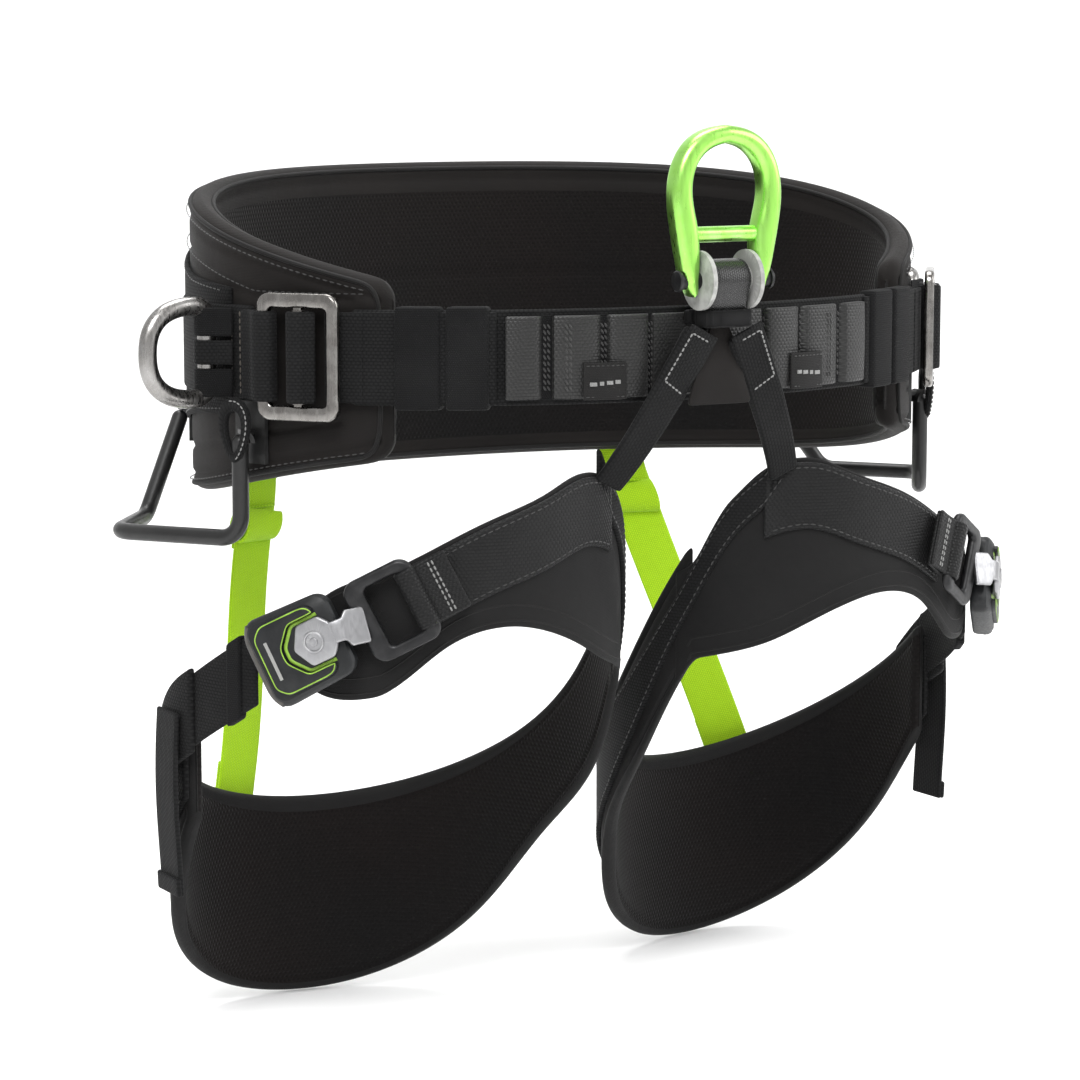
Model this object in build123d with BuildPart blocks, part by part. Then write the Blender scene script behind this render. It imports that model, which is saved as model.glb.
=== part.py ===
from build123d import *
from math import cos, degrees, radians, sin, sqrt
import os

# Tree climbing saddle. Millimetres, +Z up, the wearer faces -Y and +X is the wearer's left.
# The origin is the middle of the waist opening, level with the centre line of the belt webbing.
# Paired pieces are drawn for the wearer's left (+X) and mirrored for the right.

os.makedirs("parts", exist_ok=True)

# --- hip pad ---
waist_half_width = 182.0
waist_front_depth = 120.0
waist_back_depth = 136.0
lining_thick = 2.5
foam_thick = 9.0
shell_thick = 2.5
pad_thick = lining_thick + foam_thick + shell_thick
wing_end_angle = 121.0
wing_corner_radius = 12.0
pad_back_top = 82.0
pad_side_top = 61.0
pad_wing_top = 35.0
pad_back_bottom = -79.0
pad_side_bottom = -68.0
pad_wing_bottom = -49.0

# --- belt webbing ---
webbing_width = 45.0
webbing_thick = 2.5
daisy_width = 38.0
daisy_thick = 2.0
daisy_half_angle = 40.0
tail_width = 43.0
tail_thick = 2.0
tail_end_angle = 138.0
keeper_wall = 1.2
keeper_overhang = 1.5
keeper_half_angle = 3.2
keeper_angles = (126.5, 134.0)
label_width = 22.0
label_height = 18.0
label_thick = 1.2
label_angle = 157.5
label_drop = 11.0

# --- waist buckle ---
buckle_angle = 109.5
buckle_height = 60.0
buckle_length = 42.0
buckle_thick = 5.0
buckle_corner = 6.0
buckle_end_bar = 6.0
buckle_side_bar = 7.0
buckle_standoff = 3.6
bar_diameter = 7.0
bar_pocket_clear = 0.4
bar_travel = 3.0
fold_thick = 2.5
fold_width = 43.0
anchor_gap = 0.2

# --- attachment rings at the hips ---
hip_ring_angle = 94.5
hip_ring_height = 54.0
hip_ring_reach = 38.0
hip_ring_wire = 9.0
hip_ring_bend = 6.5
hip_ring_standoff = 8.6
hip_ring_swing_left = 66.0
hip_ring_swing_right = 0.0
pivot_clear = 0.05
sleeve_wall = 2.6
sleeve_height = 14.0
middle_strap_height = 12.0

# --- gear loops ---
gear_tube = 8.0
gear_front_angle = 100.0
gear_back_angle = 66.0
gear_anchor_z = -42.0
gear_standoff = 8.8
gear_drop = 46.0
gear_forward_reach = 56.0
gear_forward_y = 18.0
gear_back_reach = 22.0
gear_back_y = 62.0
gear_bend = 11.0
gear_eye_wall = 2.2
gear_eye_length = 8.0
gear_patch_width = 20.0
gear_patch_height = 30.0
gear_patch_thick = 2.0

# --- ventral ring ---
ring_y = -150.0
ring_outer_radius = 30.5
ring_eye_radius = 20.0
ring_centre_z = 77.0
ring_thick = 12.0
ring_edge_round = 3.5
ring_eye_foot_radius = 5.0
ring_eye_foot_z = 65.5
ring_eye_foot_x = 11.0
ring_foot_radius = 7.0
ring_foot_x = 17.6
ring_fork_gap = 30.0
ring_fork_top = 52.0
axle_z = 35.0
axle_diameter = 8.0
cross_bar_z = 56.5
cross_bar_diameter = 7.5
cross_bar_length = 40.0
screw_head_diameter = 10.0
screw_head_thick = 1.6
screw_clear = 0.3
thimble_width = 28.4
thimble_hub = 14.0
thimble_flange = 28.0
thimble_flange_thick = 2.2
ventral_webbing_width = 20.0
ventral_webbing_thick = 3.0
ventral_loop_foot_z = 19.0
loop_band_height = 8.0
loop_band_wall = 1.6
tie_width = 30.0

# --- leg loops ---
strap_pivot_z = 10.0
strap_top_x = 12.2
front_strap_width = 20.0
front_strap_thick = 4.0
front_strap_foot = Vector(50.0, -132.0, -62.0)
leg_centre_x = 115.0
leg_centre_y = -32.0
leg_major = 104.0
leg_minor = 85.0
leg_turn = 45.0
leg_pad_thick = 7.0
leg_cover_thick = 2.0
leg_wing_thick = 3.5
leg_webbing_thick = 2.0
leg_lean = 0.13
leg_pad_start = 8.0
leg_pad_end = 212.0
leg_wing_end = 306.0
leg_strap_turn_angle = 231.0
leg_strap_width = 30.0

# --- leg buckle ---
leg_frame_angle = -63.0
leg_frame_z = -113.0
leg_frame_length = 27.0
leg_frame_height = 38.0
leg_frame_thick = 4.0
leg_frame_bar = 4.5
leg_buckle_pitch = 27.0
leg_housing_angle = -38.5
leg_housing_z = -132.0
leg_housing_length = 46.0
leg_housing_height = 44.0
leg_housing_thick = 13.0
leg_housing_corner = 9.0
key_hex_radius = 12.0
key_thick = 3.0
key_neck_width = 9.0
key_clear = 0.6
key_travel = 6.0

# --- outer strap of the leg loop ---
outer_strap_start = -22.0
outer_strap_end = 7.5
leg_keeper_half_angle = 2.6
leg_keeper_angle = -14.5
fold_start = 2.5
fold_end = 22.0
fold_thickness = 4.0
tail_angle = 10.5
tail_top = -166.0
strap_tail_length = 96.0
strap_tail_width = 24.0
strap_tail_thick = 3.0

# --- leg loop risers at the back ---
riser_width = 25.0
riser_thick = 1.8
riser_angle = 41.6
riser_top_z = -86.5
riser_foot_angle = 70.0
riser_foot_z = -250.0
riser_hook_height = 26.0
riser_hook_thick = 3.0
far = 420.0


def save(piece, name):
    """Label one piece and write it."""
    piece.label = name
    export_step(piece, f"parts/{name}.step")


def save_pair(piece, name):
    """Write a piece for the wearer's left and its mirror image for the right."""
    save(mirror(piece, about=Plane.YZ), f"right_{name}")
    save(piece, f"left_{name}")


# ---------------------------------------------------------------- belt helpers

def belt_point(angle, grow):
    """Point on the belt oval; the angle runs from the middle of the back towards the wearer's left."""
    across = waist_half_width + grow
    deep = grow + (waist_back_depth if cos(radians(angle)) > 0 else waist_front_depth)
    radius = 1 / sqrt((sin(radians(angle)) / across) ** 2 + (cos(radians(angle)) / deep) ** 2)
    return Vector(radius * sin(radians(angle)), radius * cos(radians(angle)), 0)


def belt_plane(angle, grow, height):
    """Plane on the belt: x runs towards the wearer's back, y up, z away from the body."""
    point = belt_point(angle, grow)
    across = waist_half_width + grow
    deep = grow + (waist_back_depth if point.Y > 0 else waist_front_depth)
    outward = Vector(point.X / across ** 2, point.Y / deep ** 2, 0).normalized()
    return Plane(
        origin=(point.X, point.Y, height),
        x_dir=Vector(0, 0, 1).cross(outward),
        z_dir=outward,
    )


def belt_oval(grow):
    """Filled oval of the belt, its front half flatter than its back half."""
    across = waist_half_width + grow
    with BuildSketch() as oval:
        with BuildLine():
            EllipticalCenterArc((0, 0), across, waist_back_depth + grow, start_angle=0, arc_size=180)
            EllipticalCenterArc((0, 0), across, waist_front_depth + grow, start_angle=180, arc_size=180)
        make_face()
    return oval.sketch


def fan(start, end, centre_x=0.0, centre_y=0.0, clock_start=90.0, turn=-1):
    """Filled fan between two angles around a centre, used to cut a stretch out of a closed band."""
    steps = max(2, int(abs(end - start) // 30) + 2)
    corners = [(centre_x, centre_y)]
    for number in range(steps):
        angle = radians(clock_start + turn * (start + (end - start) * number / (steps - 1)))
        corners.append((centre_x + far * cos(angle), centre_y + far * sin(angle)))
    with BuildSketch() as shape:
        with BuildLine():
            Polyline(*corners, close=True)
        make_face()
    return shape.sketch


def belt_band(inner, outer, low, high, start, end):
    """Stretch of a band lying on the belt oval, between two angles and two heights."""
    with BuildPart() as band:
        with BuildSketch(Plane.XY.offset(low)):
            add(belt_oval(outer))
            add(belt_oval(inner), mode=Mode.SUBTRACT)
            add(fan(start, end), mode=Mode.INTERSECT)
        extrude(amount=high - low)
    return band.part


# ---------------------------------------------------------------- hip pad

def pad_side_view():
    """Outline of the hip pad seen from the side, tall at the back and low at the front."""
    back_y = waist_back_depth + pad_thick + 5
    front_y = belt_point(wing_end_angle, pad_thick).Y
    with BuildSketch(Plane.YZ) as view:
        with BuildLine():
            top = Spline(
                (back_y, pad_back_top),
                (back_y * 0.68, pad_back_top - 3),
                (0, pad_side_top),
                (front_y * 0.55, (pad_side_top + pad_wing_top) / 2),
                (front_y, pad_wing_top),
            )
            Line(top @ 1, (front_y, pad_wing_bottom))
            bottom = Spline(
                (front_y, pad_wing_bottom),
                (front_y * 0.5, (pad_side_bottom + pad_wing_bottom) / 2),
                (0, pad_side_bottom),
                (back_y * 0.68, pad_back_bottom + 2),
                (back_y, pad_back_bottom),
            )
            Line(bottom @ 1, top @ 0)
        make_face()
        fillet(view.vertices().group_by(Axis.X)[0], radius=wing_corner_radius)
    return view.sketch


def hip_layer(inner, outer):
    """One layer of the hip pad, between two distances from its inside surface."""
    with BuildPart() as layer:
        add(belt_band(inner, outer, pad_back_bottom - 10, pad_back_top + 10, -wing_end_angle, wing_end_angle))
        extrude(pad_side_view(), amount=far, both=True, mode=Mode.INTERSECT)
    return layer.part


save(hip_layer(0, lining_thick), "hip_pad_lining")
save(hip_layer(lining_thick, lining_thick + foam_thick), "hip_pad_foam")
save(hip_layer(lining_thick + foam_thick, pad_thick), "hip_pad_shell")

# ---------------------------------------------------------------- belt webbing

belt_outer = pad_thick + webbing_thick
half_web = webbing_width / 2
rear_webbing_end = buckle_angle - 9.0
front_webbing_start = buckle_angle + 7.5

save(
    belt_band(pad_thick, belt_outer, -half_web, half_web, -rear_webbing_end, rear_webbing_end),
    "rear_webbing",
)
with BuildPart() as front_webbing:
    add(belt_band(pad_thick, belt_outer, -half_web, half_web, front_webbing_start, 360 - front_webbing_start))
    for tail_start, tail_end in (
        (front_webbing_start, tail_end_angle),
        (360 - tail_end_angle, 360 - front_webbing_start),
    ):
        add(belt_band(belt_outer, belt_outer + tail_thick, -tail_width / 2, tail_width / 2, tail_start, tail_end))
save(front_webbing.part, "front_webbing")
save(
    belt_band(
        belt_outer,
        belt_outer + daisy_thick,
        -daisy_width / 2,
        daisy_width / 2,
        180 - daisy_half_angle,
        180 + daisy_half_angle,
    ),
    "front_daisy_webbing",
)


def belt_keeper(angle):
    """Elastic keeper wrapped round the front webbing and the tail lying on it."""
    inside_low = pad_thick - anchor_gap if angle > wing_end_angle + keeper_half_angle else pad_thick
    hold = half_web + keeper_overhang
    outer_face = belt_outer + tail_thick
    start = angle - keeper_half_angle
    end = angle + keeper_half_angle
    with BuildPart() as keeper:
        add(belt_band(inside_low - keeper_wall, outer_face + keeper_wall, -hold, hold, start, end))
        add(
            belt_band(inside_low, outer_face, keeper_wall - hold, hold - keeper_wall, start - 1, end + 1),
            mode=Mode.SUBTRACT,
        )
    return keeper.part


for keeper_number, keeper_angle in enumerate(keeper_angles, start=1):
    save_pair(belt_keeper(keeper_angle), f"belt_keeper_{keeper_number}")

with BuildPart() as label_loop:
    with BuildSketch(belt_plane(label_angle, belt_outer + daisy_thick + 0.6, -label_drop)):
        RectangleRounded(label_width, label_height, 2)
    extrude(amount=label_thick)
save_pair(label_loop.part, "label_loop")

# ---------------------------------------------------------------- waist buckles

buckle_plane = belt_plane(buckle_angle, belt_outer, 0)
buckle_mid = buckle_standoff + buckle_thick / 2
window_length = buckle_length - 2 * buckle_end_bar
window_height = buckle_height - 2 * buckle_side_bar
bar_reach = window_height + 6.0

with BuildPart() as waist_buckle:
    with BuildSketch(buckle_plane.offset(buckle_standoff)):
        RectangleRounded(buckle_length, buckle_height, buckle_corner)
        RectangleRounded(window_length, window_height, 2, mode=Mode.SUBTRACT)
    extrude(amount=buckle_thick)
    with BuildSketch(buckle_plane.offset(buckle_mid)):
        SlotOverall(bar_diameter + 2 * bar_travel + 2 * bar_pocket_clear, bar_diameter / 2, mode=Mode.PRIVATE)
        Rectangle(bar_travel * 2 + bar_diameter * 0.62 + 2 * bar_pocket_clear, bar_reach + 2 * bar_pocket_clear)
    extrude(amount=bar_diameter / 4 + bar_pocket_clear, both=True, mode=Mode.SUBTRACT)
save_pair(waist_buckle.part, "waist_buckle")

with BuildPart() as buckle_bar:
    with BuildSketch(Plane(buckle_plane.offset(buckle_mid).origin, x_dir=buckle_plane.x_dir, z_dir=(0, 0, 1))):
        Circle(bar_diameter / 2)
    extrude(amount=window_height / 2 - 1, both=True)
    with BuildSketch(buckle_plane.offset(buckle_mid)):
        Rectangle(bar_diameter * 0.62, bar_reach)
    extrude(amount=bar_diameter / 4, both=True)
save_pair(buckle_bar.part, "waist_buckle_bar")

with BuildPart() as buckle_fold:
    with BuildSketch(Plane(buckle_plane.offset(buckle_mid).origin, x_dir=buckle_plane.x_dir, z_dir=(0, 0, 1))):
        Circle(bar_diameter / 2 + fold_thick)
        Circle(bar_diameter / 2, mode=Mode.SUBTRACT)
    extrude(amount=fold_width / 2, both=True)
save_pair(buckle_fold.part, "waist_webbing_fold")

# ---------------------------------------------------------------- attachment rings at the hips

def hip_ring_pieces(swing):
    """Ring and its strap at the wearer's left hip; the swing turns the ring towards the back."""
    base = belt_plane(hip_ring_angle, belt_outer, 0)
    pivot = base.origin + base.z_dir * hip_ring_standoff
    away = base.z_dir * cos(radians(swing)) + base.x_dir * sin(radians(swing))
    level = Plane(origin=pivot, x_dir=base.z_dir, z_dir=(0, 0, 1))
    wire = hip_ring_wire / 2
    half = hip_ring_height / 2 - wire
    reach = hip_ring_reach - wire
    with BuildPart() as ring:
        with BuildLine(Plane(origin=pivot, x_dir=away, z_dir=away.cross(Vector(0, 0, 1)))) as outline:
            bow = FilletPolyline(
                (0, 1),
                (0, half),
                (reach * 0.62, half),
                (reach, half * 0.52),
                (reach, -half * 0.52),
                (reach * 0.62, -half),
                (0, -half),
                (0, -1),
                radius=hip_ring_bend,
            )
            Line(bow @ 1, bow @ 0)
        loop = outline.wires()[0]
        with BuildSketch(Plane(origin=loop @ 0, z_dir=loop % 0)):
            Circle(wire)
        sweep(path=loop)
    with BuildPart() as strap:
        with BuildSketch(level):
            Circle(wire + pivot_clear + sleeve_wall)
            with Locations((-hip_ring_standoff / 2, 0)):
                Rectangle(hip_ring_standoff, sleeve_height * 0.9)
            Circle(wire + pivot_clear, mode=Mode.SUBTRACT)
        extrude(amount=middle_strap_height / 2, both=True)
    return ring.part, strap.part


left_ring, left_strap = hip_ring_pieces(hip_ring_swing_left)
right_ring, right_strap = hip_ring_pieces(hip_ring_swing_right)
save(left_ring, "left_hip_ring")
save(left_strap, "left_hip_ring_strap")
save(mirror(right_ring, about=Plane.YZ), "right_hip_ring")
save(mirror(right_strap, about=Plane.YZ), "right_hip_ring_strap")

# ---------------------------------------------------------------- gear loops

gear_front_base = belt_plane(gear_front_angle, pad_thick, gear_anchor_z)
gear_back_base = belt_plane(gear_back_angle, pad_thick, gear_anchor_z)
gear_front = gear_front_base.origin + gear_front_base.z_dir * gear_standoff
gear_back = gear_back_base.origin + gear_back_base.z_dir * gear_standoff
gear_axis = (gear_front - gear_back).normalized()
gear_low = gear_front.Z - gear_drop

with BuildPart() as gear_loop:
    with BuildLine():
        FilletPolyline(
            gear_front,
            (gear_front.X, gear_front.Y, gear_low),
            (waist_half_width + gear_forward_reach, gear_forward_y, gear_low),
            (waist_half_width + gear_back_reach, gear_back_y, gear_low),
            gear_back,
            radius=gear_bend,
        )
    with BuildSketch(Plane(origin=gear_front, z_dir=(0, 0, -1))):
        Circle(gear_tube / 2)
    sweep()
    with Locations(gear_front, gear_back):
        Sphere(gear_tube / 2)
save_pair(gear_loop.part, "gear_loop")


def gear_anchor(base, angle):
    """Stitched webbing cap over one end of the gear loop, on a patch sewn to the hip pad."""
    centre = base.origin + base.z_dir * gear_standoff
    inside = gear_tube / 2 + pivot_clear
    half_patch = degrees(gear_patch_width / 2 / centre.length)
    with BuildPart() as anchor:
        with BuildSketch(Plane(origin=centre, x_dir=(0, 0, 1), z_dir=gear_axis)):
            Circle(inside + gear_eye_wall)
            Circle(inside, mode=Mode.SUBTRACT)
            with Locations((-far / 2, 0), (0, -far / 2)):
                Rectangle(far, far, mode=Mode.SUBTRACT)
        extrude(amount=gear_eye_length / 2, both=True)
        with BuildSketch(base):
            with Locations((0, (inside + gear_eye_wall) * 0.7)):
                Rectangle(gear_eye_length * 0.8, gear_eye_wall)
        extrude(amount=gear_standoff - inside * 0.7)
        add(
            belt_band(
                pad_thick,
                pad_thick + gear_patch_thick,
                gear_anchor_z - gear_patch_height * 0.35,
                -half_web - anchor_gap,
                angle - half_patch,
                angle + half_patch,
            )
        )
    return anchor.part


save_pair(gear_anchor(gear_front_base, gear_front_angle), "gear_anchor_front")
save_pair(gear_anchor(gear_back_base, gear_back_angle), "gear_anchor_back")

# ---------------------------------------------------------------- ventral ring

ring_plane = Plane(origin=(0, ring_y, 0), x_dir=(1, 0, 0), z_dir=(0, -1, 0))
axle_plane = Plane(origin=(0, ring_y, axle_z), x_dir=(0, 1, 0), z_dir=(1, 0, 0))

with BuildPart() as ventral_ring:
    with BuildSketch(ring_plane):
        with Locations((0, ring_centre_z)):
            Circle(ring_outer_radius)
        with Locations((ring_foot_x, axle_z), (-ring_foot_x, axle_z)):
            Circle(ring_foot_radius)
        make_hull()
        with BuildSketch(mode=Mode.SUBTRACT):
            with Locations((0, ring_centre_z + 2)):
                Circle(ring_eye_radius)
            with Locations((ring_eye_foot_x, ring_eye_foot_z), (-ring_eye_foot_x, ring_eye_foot_z)):
                Circle(ring_eye_foot_radius)
            make_hull()
    extrude(amount=ring_thick / 2, both=True)
    fillet(ventral_ring.edges().filter_by(Axis.Y, reverse=True), radius=ring_edge_round)
    with BuildSketch(ring_plane):
        with Locations((0, ring_fork_top / 2)):
            Rectangle(ring_fork_gap, ring_fork_top)
    extrude(amount=ring_thick, both=True, mode=Mode.SUBTRACT)
    with BuildSketch(axle_plane):
        Circle(axle_diameter / 2 + pivot_clear)
    extrude(amount=far / 4, both=True, mode=Mode.SUBTRACT)
    for face_side in (-1, 1):
        with BuildSketch(axle_plane.offset(face_side * (ring_foot_x + ring_foot_radius + screw_head_thick * 2))):
            Circle(screw_head_diameter / 2 + screw_clear)
        extrude(amount=screw_head_thick * 2, both=True, mode=Mode.SUBTRACT)
    with BuildSketch(axle_plane):
        with Locations((0, cross_bar_z - axle_z)):
            Circle(cross_bar_diameter / 2)
    extrude(amount=cross_bar_length / 2, both=True, mode=Mode.SUBTRACT)
save(ventral_ring.part, "ventral_ring")

with BuildPart() as cross_bar:
    with BuildSketch(axle_plane):
        with Locations((0, cross_bar_z - axle_z)):
            Circle(cross_bar_diameter / 2)
    extrude(amount=cross_bar_length / 2, both=True)
save(cross_bar.part, "ventral_cross_bar")

with BuildPart() as axle:
    with BuildSketch(axle_plane):
        Circle(axle_diameter / 2)
    extrude(amount=ring_foot_x + ring_foot_radius, both=True)
    for head_side in (-1, 1):
        with BuildSketch(axle_plane.offset(head_side * (ring_foot_x + ring_foot_radius + screw_head_thick / 2))):
            Circle(screw_head_diameter / 2)
        extrude(amount=screw_head_thick / 2, both=True)
    chamfer(axle.edges().filter_by(GeomType.CIRCLE).sort_by(Axis.X)[0], length=0.5)
    chamfer(axle.edges().filter_by(GeomType.CIRCLE).sort_by(Axis.X)[-1], length=0.5)
save(axle.part, "ventral_axle")

with BuildPart() as thimble:
    with BuildSketch(axle_plane):
        Circle(thimble_hub / 2)
        Circle(axle_diameter / 2 + pivot_clear, mode=Mode.SUBTRACT)
    extrude(amount=thimble_width / 2, both=True)
    for flange_side in (-1, 1):
        with BuildSketch(axle_plane.offset(flange_side * (thimble_width - thimble_flange_thick) / 2)):
            Circle(thimble_flange / 2)
            Circle(axle_diameter / 2 + pivot_clear, mode=Mode.SUBTRACT)
        extrude(amount=thimble_flange_thick / 2, both=True)
save(thimble.part, "ventral_thimble")

loop_foot_inside = 1.2
with BuildPart() as ventral_loop:
    with BuildSketch(axle_plane):
        Circle(thimble_hub / 2 + ventral_webbing_thick)
        with Locations((0, ventral_loop_foot_z - axle_z)):
            Circle(loop_foot_inside + ventral_webbing_thick)
        make_hull()
        with BuildSketch(mode=Mode.SUBTRACT):
            Circle(thimble_hub / 2)
            with Locations((0, ventral_loop_foot_z - axle_z)):
                Circle(loop_foot_inside)
            make_hull()
    extrude(amount=ventral_webbing_width / 2, both=True)
save(ventral_loop.part, "ventral_webbing_loop")

band_floor = ventral_loop_foot_z - loop_foot_inside - ventral_webbing_thick
band_depth = 2 * (loop_foot_inside + ventral_webbing_thick) + 3
belt_front = -(waist_front_depth + belt_outer + daisy_thick)
with BuildPart() as loop_band:
    with BuildSketch(Plane.XY.offset(band_floor - loop_band_wall)):
        with Locations((0, ring_y)):
            RectangleRounded(ventral_webbing_width + 2 * loop_band_wall, band_depth + 2 * loop_band_wall, 2)
        with Locations((0, (ring_y + band_depth / 2 + belt_front) / 2)):
            Rectangle(tie_width, belt_front - ring_y - band_depth / 2)
    extrude(amount=loop_band_height)
    with BuildSketch(Plane.XY.offset(band_floor)):
        with Locations((0, ring_y)):
            Rectangle(ventral_webbing_width, band_depth)
    extrude(amount=loop_band_height, mode=Mode.SUBTRACT)
save(loop_band.part, "ventral_loop_band")

# ---------------------------------------------------------------- leg loop helpers

leg_stack = leg_pad_thick + leg_cover_thick
leg_outer = leg_stack + leg_webbing_thick


def leg_point(angle, grow):
    """Point on the leg oval; the angle runs from straight outwards towards the back."""
    major = leg_major + grow
    minor = leg_minor + grow
    local = radians(angle - leg_turn)
    radius = 1 / sqrt((cos(local) / major) ** 2 + (sin(local) / minor) ** 2)
    return Vector(
        leg_centre_x + radius * cos(radians(angle)), leg_centre_y + radius * sin(radians(angle)), 0
    )


def leg_plane(angle, grow, height, pitch):
    """Plane on the leg loop: x follows the strap outwards and down, z points away from the leg."""
    point = leg_point(angle, grow)
    turn = radians(leg_turn)
    east = point.X - leg_centre_x
    north = point.Y - leg_centre_y
    along = (east * cos(turn) + north * sin(turn)) / (leg_major + grow) ** 2
    across = (north * cos(turn) - east * sin(turn)) / (leg_minor + grow) ** 2
    outward = Vector(
        along * cos(turn) - across * sin(turn), along * sin(turn) + across * cos(turn), 0
    ).normalized()
    sideways = Vector(0, 0, 1).cross(outward)
    return Plane(
        origin=(point.X, point.Y, height),
        x_dir=sideways * cos(radians(pitch)) - Vector(0, 0, 1) * sin(radians(pitch)),
        z_dir=outward,
    )


def leg_band(inner, outer, start, end, cutter):
    """Stretch of the leg loop between two angles, its edges trimmed by a cutter solid."""
    with BuildPart() as band:
        with BuildSketch(Plane.XY.offset(-far)):
            with Locations(Location((leg_centre_x, leg_centre_y, 0), (0, 0, leg_turn))):
                Ellipse(leg_major + outer, leg_minor + outer)
                Ellipse(leg_major + inner, leg_minor + inner, mode=Mode.SUBTRACT)
            add(fan(start, end, leg_centre_x, leg_centre_y, clock_start=0.0, turn=1), mode=Mode.INTERSECT)
        extrude(amount=far)
        add(cutter, mode=Mode.INTERSECT)
    return band.part


def side_cutter(upper, lower, grow=0.0):
    """Solid cut to an outline seen from the side, leaning up towards the outside of the leg."""
    with BuildPart() as cutter:
        with BuildSketch(Plane.YZ.offset(leg_centre_x)):
            with BuildLine():
                top = Spline(*[(y, z + grow) for y, z in upper])
                bottom = Spline(*[(y, z - grow) for y, z in lower])
                Line(top @ 0, bottom @ 0)
                Line(top @ 1, bottom @ 1)
            make_face()
        extrude(amount=far / 2, dir=(1, 0, leg_lean), both=True)
    return cutter.part


def front_cutter(upper, lower):
    """Solid cut to an outline seen from the front, reaching over the front half of the leg."""
    with BuildPart() as cutter:
        with BuildSketch(Plane.XZ):
            with BuildLine():
                top = Spline(*upper)
                bottom = Spline(*lower)
                Line(top @ 0, bottom @ 0)
                Line(top @ 1, bottom @ 1)
            make_face()
        extrude(amount=far / 2)
    return cutter.part


# ---------------------------------------------------------------- leg pads and wings

pad_edges = side_cutter(
    [(-96, -80), (-80, -102), (-50, -143), (-15, -180), (19, -207), (48, -227), (96, -258)],
    [(-96, -138), (-80, -162), (-50, -206), (-15, -242), (17, -286), (48, -322), (96, -362)],
)
save_pair(leg_band(0, leg_pad_thick, leg_pad_start, leg_pad_end, pad_edges), "leg_pad")
save_pair(leg_band(leg_pad_thick, leg_stack, leg_pad_start, leg_pad_end, pad_edges), "leg_pad_cover")

wing_edges = front_cutter(
    [(8, -116), (20, -97), (36, -74), (50, -58), (64, -55), (84, -62), (117, -74), (151, -92), (180, -108)],
    [(8, -164), (20, -157), (45, -147), (62, -138), (85, -128), (106, -124), (134, -131), (152, -146), (180, -162)],
)
save_pair(
    leg_band(leg_stack - leg_wing_thick, leg_stack, leg_pad_end, leg_wing_end, wing_edges), "leg_wing"
)

rear_webbing_edges = side_cutter(
    [(-130, -36), (-112, -52), (-95, -84), (-80, -110), (-50, -152), (-15, -188), (19, -221), (48, -246), (96, -284)],
    [(-130, -72), (-112, -92), (-95, -124), (-80, -150), (-50, -195), (-15, -231), (19, -265), (48, -292), (96, -318)],
)
save_pair(
    leg_band(leg_stack, leg_outer, leg_pad_start, leg_strap_turn_angle, rear_webbing_edges), "leg_webbing_rear"
)

leg_frame_reach = degrees(leg_frame_length / 2 / leg_minor)
front_webbing_edges = front_cutter(
    [(30, -72), (50, -59), (64, -57), (84, -63.5), (117, -75.5), (151, -93.5), (180, -110)],
    [(30, -106), (50, -92), (64, -90), (84, -96.5), (117, -108.5), (151, -127), (180, -144)],
)
save_pair(
    leg_band(
        leg_stack, leg_outer, leg_strap_turn_angle, 360 + leg_frame_angle - leg_frame_reach, front_webbing_edges
    ),
    "leg_webbing_front",
)

outer_strap_upper = [(-90, -112), (-64, -128.5), (-42, -143.5), (-21, -155), (10, -168)]
outer_strap_lower = [(-90, -147), (-64, -163.5), (-42, -178.5), (-21, -190), (10, -203)]
lean_shift = leg_lean * (leg_major + leg_stack) * cos(radians(leg_turn) / 2)
outer_strap_edges = side_cutter(
    [(y, z - lean_shift) for y, z in outer_strap_upper], [(y, z - lean_shift) for y, z in outer_strap_lower]
)
keeper_edges = side_cutter(
    [(y, z - lean_shift) for y, z in outer_strap_upper],
    [(y, z - lean_shift) for y, z in outer_strap_lower],
    grow=keeper_overhang + anchor_gap,
)
with BuildPart() as leg_keeper:
    add(
        leg_band(
            leg_stack - keeper_wall - anchor_gap,
            leg_outer + keeper_wall + anchor_gap,
            leg_keeper_angle - leg_keeper_half_angle,
            leg_keeper_angle + leg_keeper_half_angle,
            keeper_edges,
        )
    )
    add(
        leg_band(leg_stack - anchor_gap, leg_outer + anchor_gap, outer_strap_start, outer_strap_end, outer_strap_edges),
        mode=Mode.SUBTRACT,
    )
save_pair(leg_keeper.part, "leg_keeper")

# ---------------------------------------------------------------- outer strap, folded over with a hanging end

fold_edges = side_cutter(
    [(-24, -162), (-5, -170), (12, -180), (30, -194)],
    [(-24, -198), (-5, -216), (12, -228), (30, -238)],
)
tail_plane = leg_plane(tail_angle, leg_outer + fold_thickness - 0.5, tail_top, 0)
with BuildPart() as outer_strap:
    add(leg_band(leg_stack, leg_outer, outer_strap_start, outer_strap_end, outer_strap_edges))
    add(leg_band(leg_outer, leg_outer + fold_thickness, fold_start, fold_end, fold_edges))
    with BuildSketch(tail_plane):
        with Locations((0, -strap_tail_length / 2)):
            RectangleRounded(strap_tail_width, strap_tail_length, 3)
    extrude(amount=strap_tail_thick)
save_pair(outer_strap.part, "leg_outer_strap")

# ---------------------------------------------------------------- leg buckle

frame_plane = leg_plane(leg_frame_angle, leg_outer, leg_frame_z, leg_buckle_pitch).offset(1.2)
frame_window = (leg_frame_length - 3 * leg_frame_bar) / 2
with BuildPart() as leg_frame:
    with BuildSketch(frame_plane):
        RectangleRounded(leg_frame_length, leg_frame_height, 4)
        with GridLocations(frame_window + leg_frame_bar, 0, 2, 1):
            RectangleRounded(frame_window, leg_frame_height - 2 * leg_frame_bar, 1.5, mode=Mode.SUBTRACT)
    extrude(amount=leg_frame_thick)
save_pair(leg_frame.part, "leg_buckle_frame")

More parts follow.
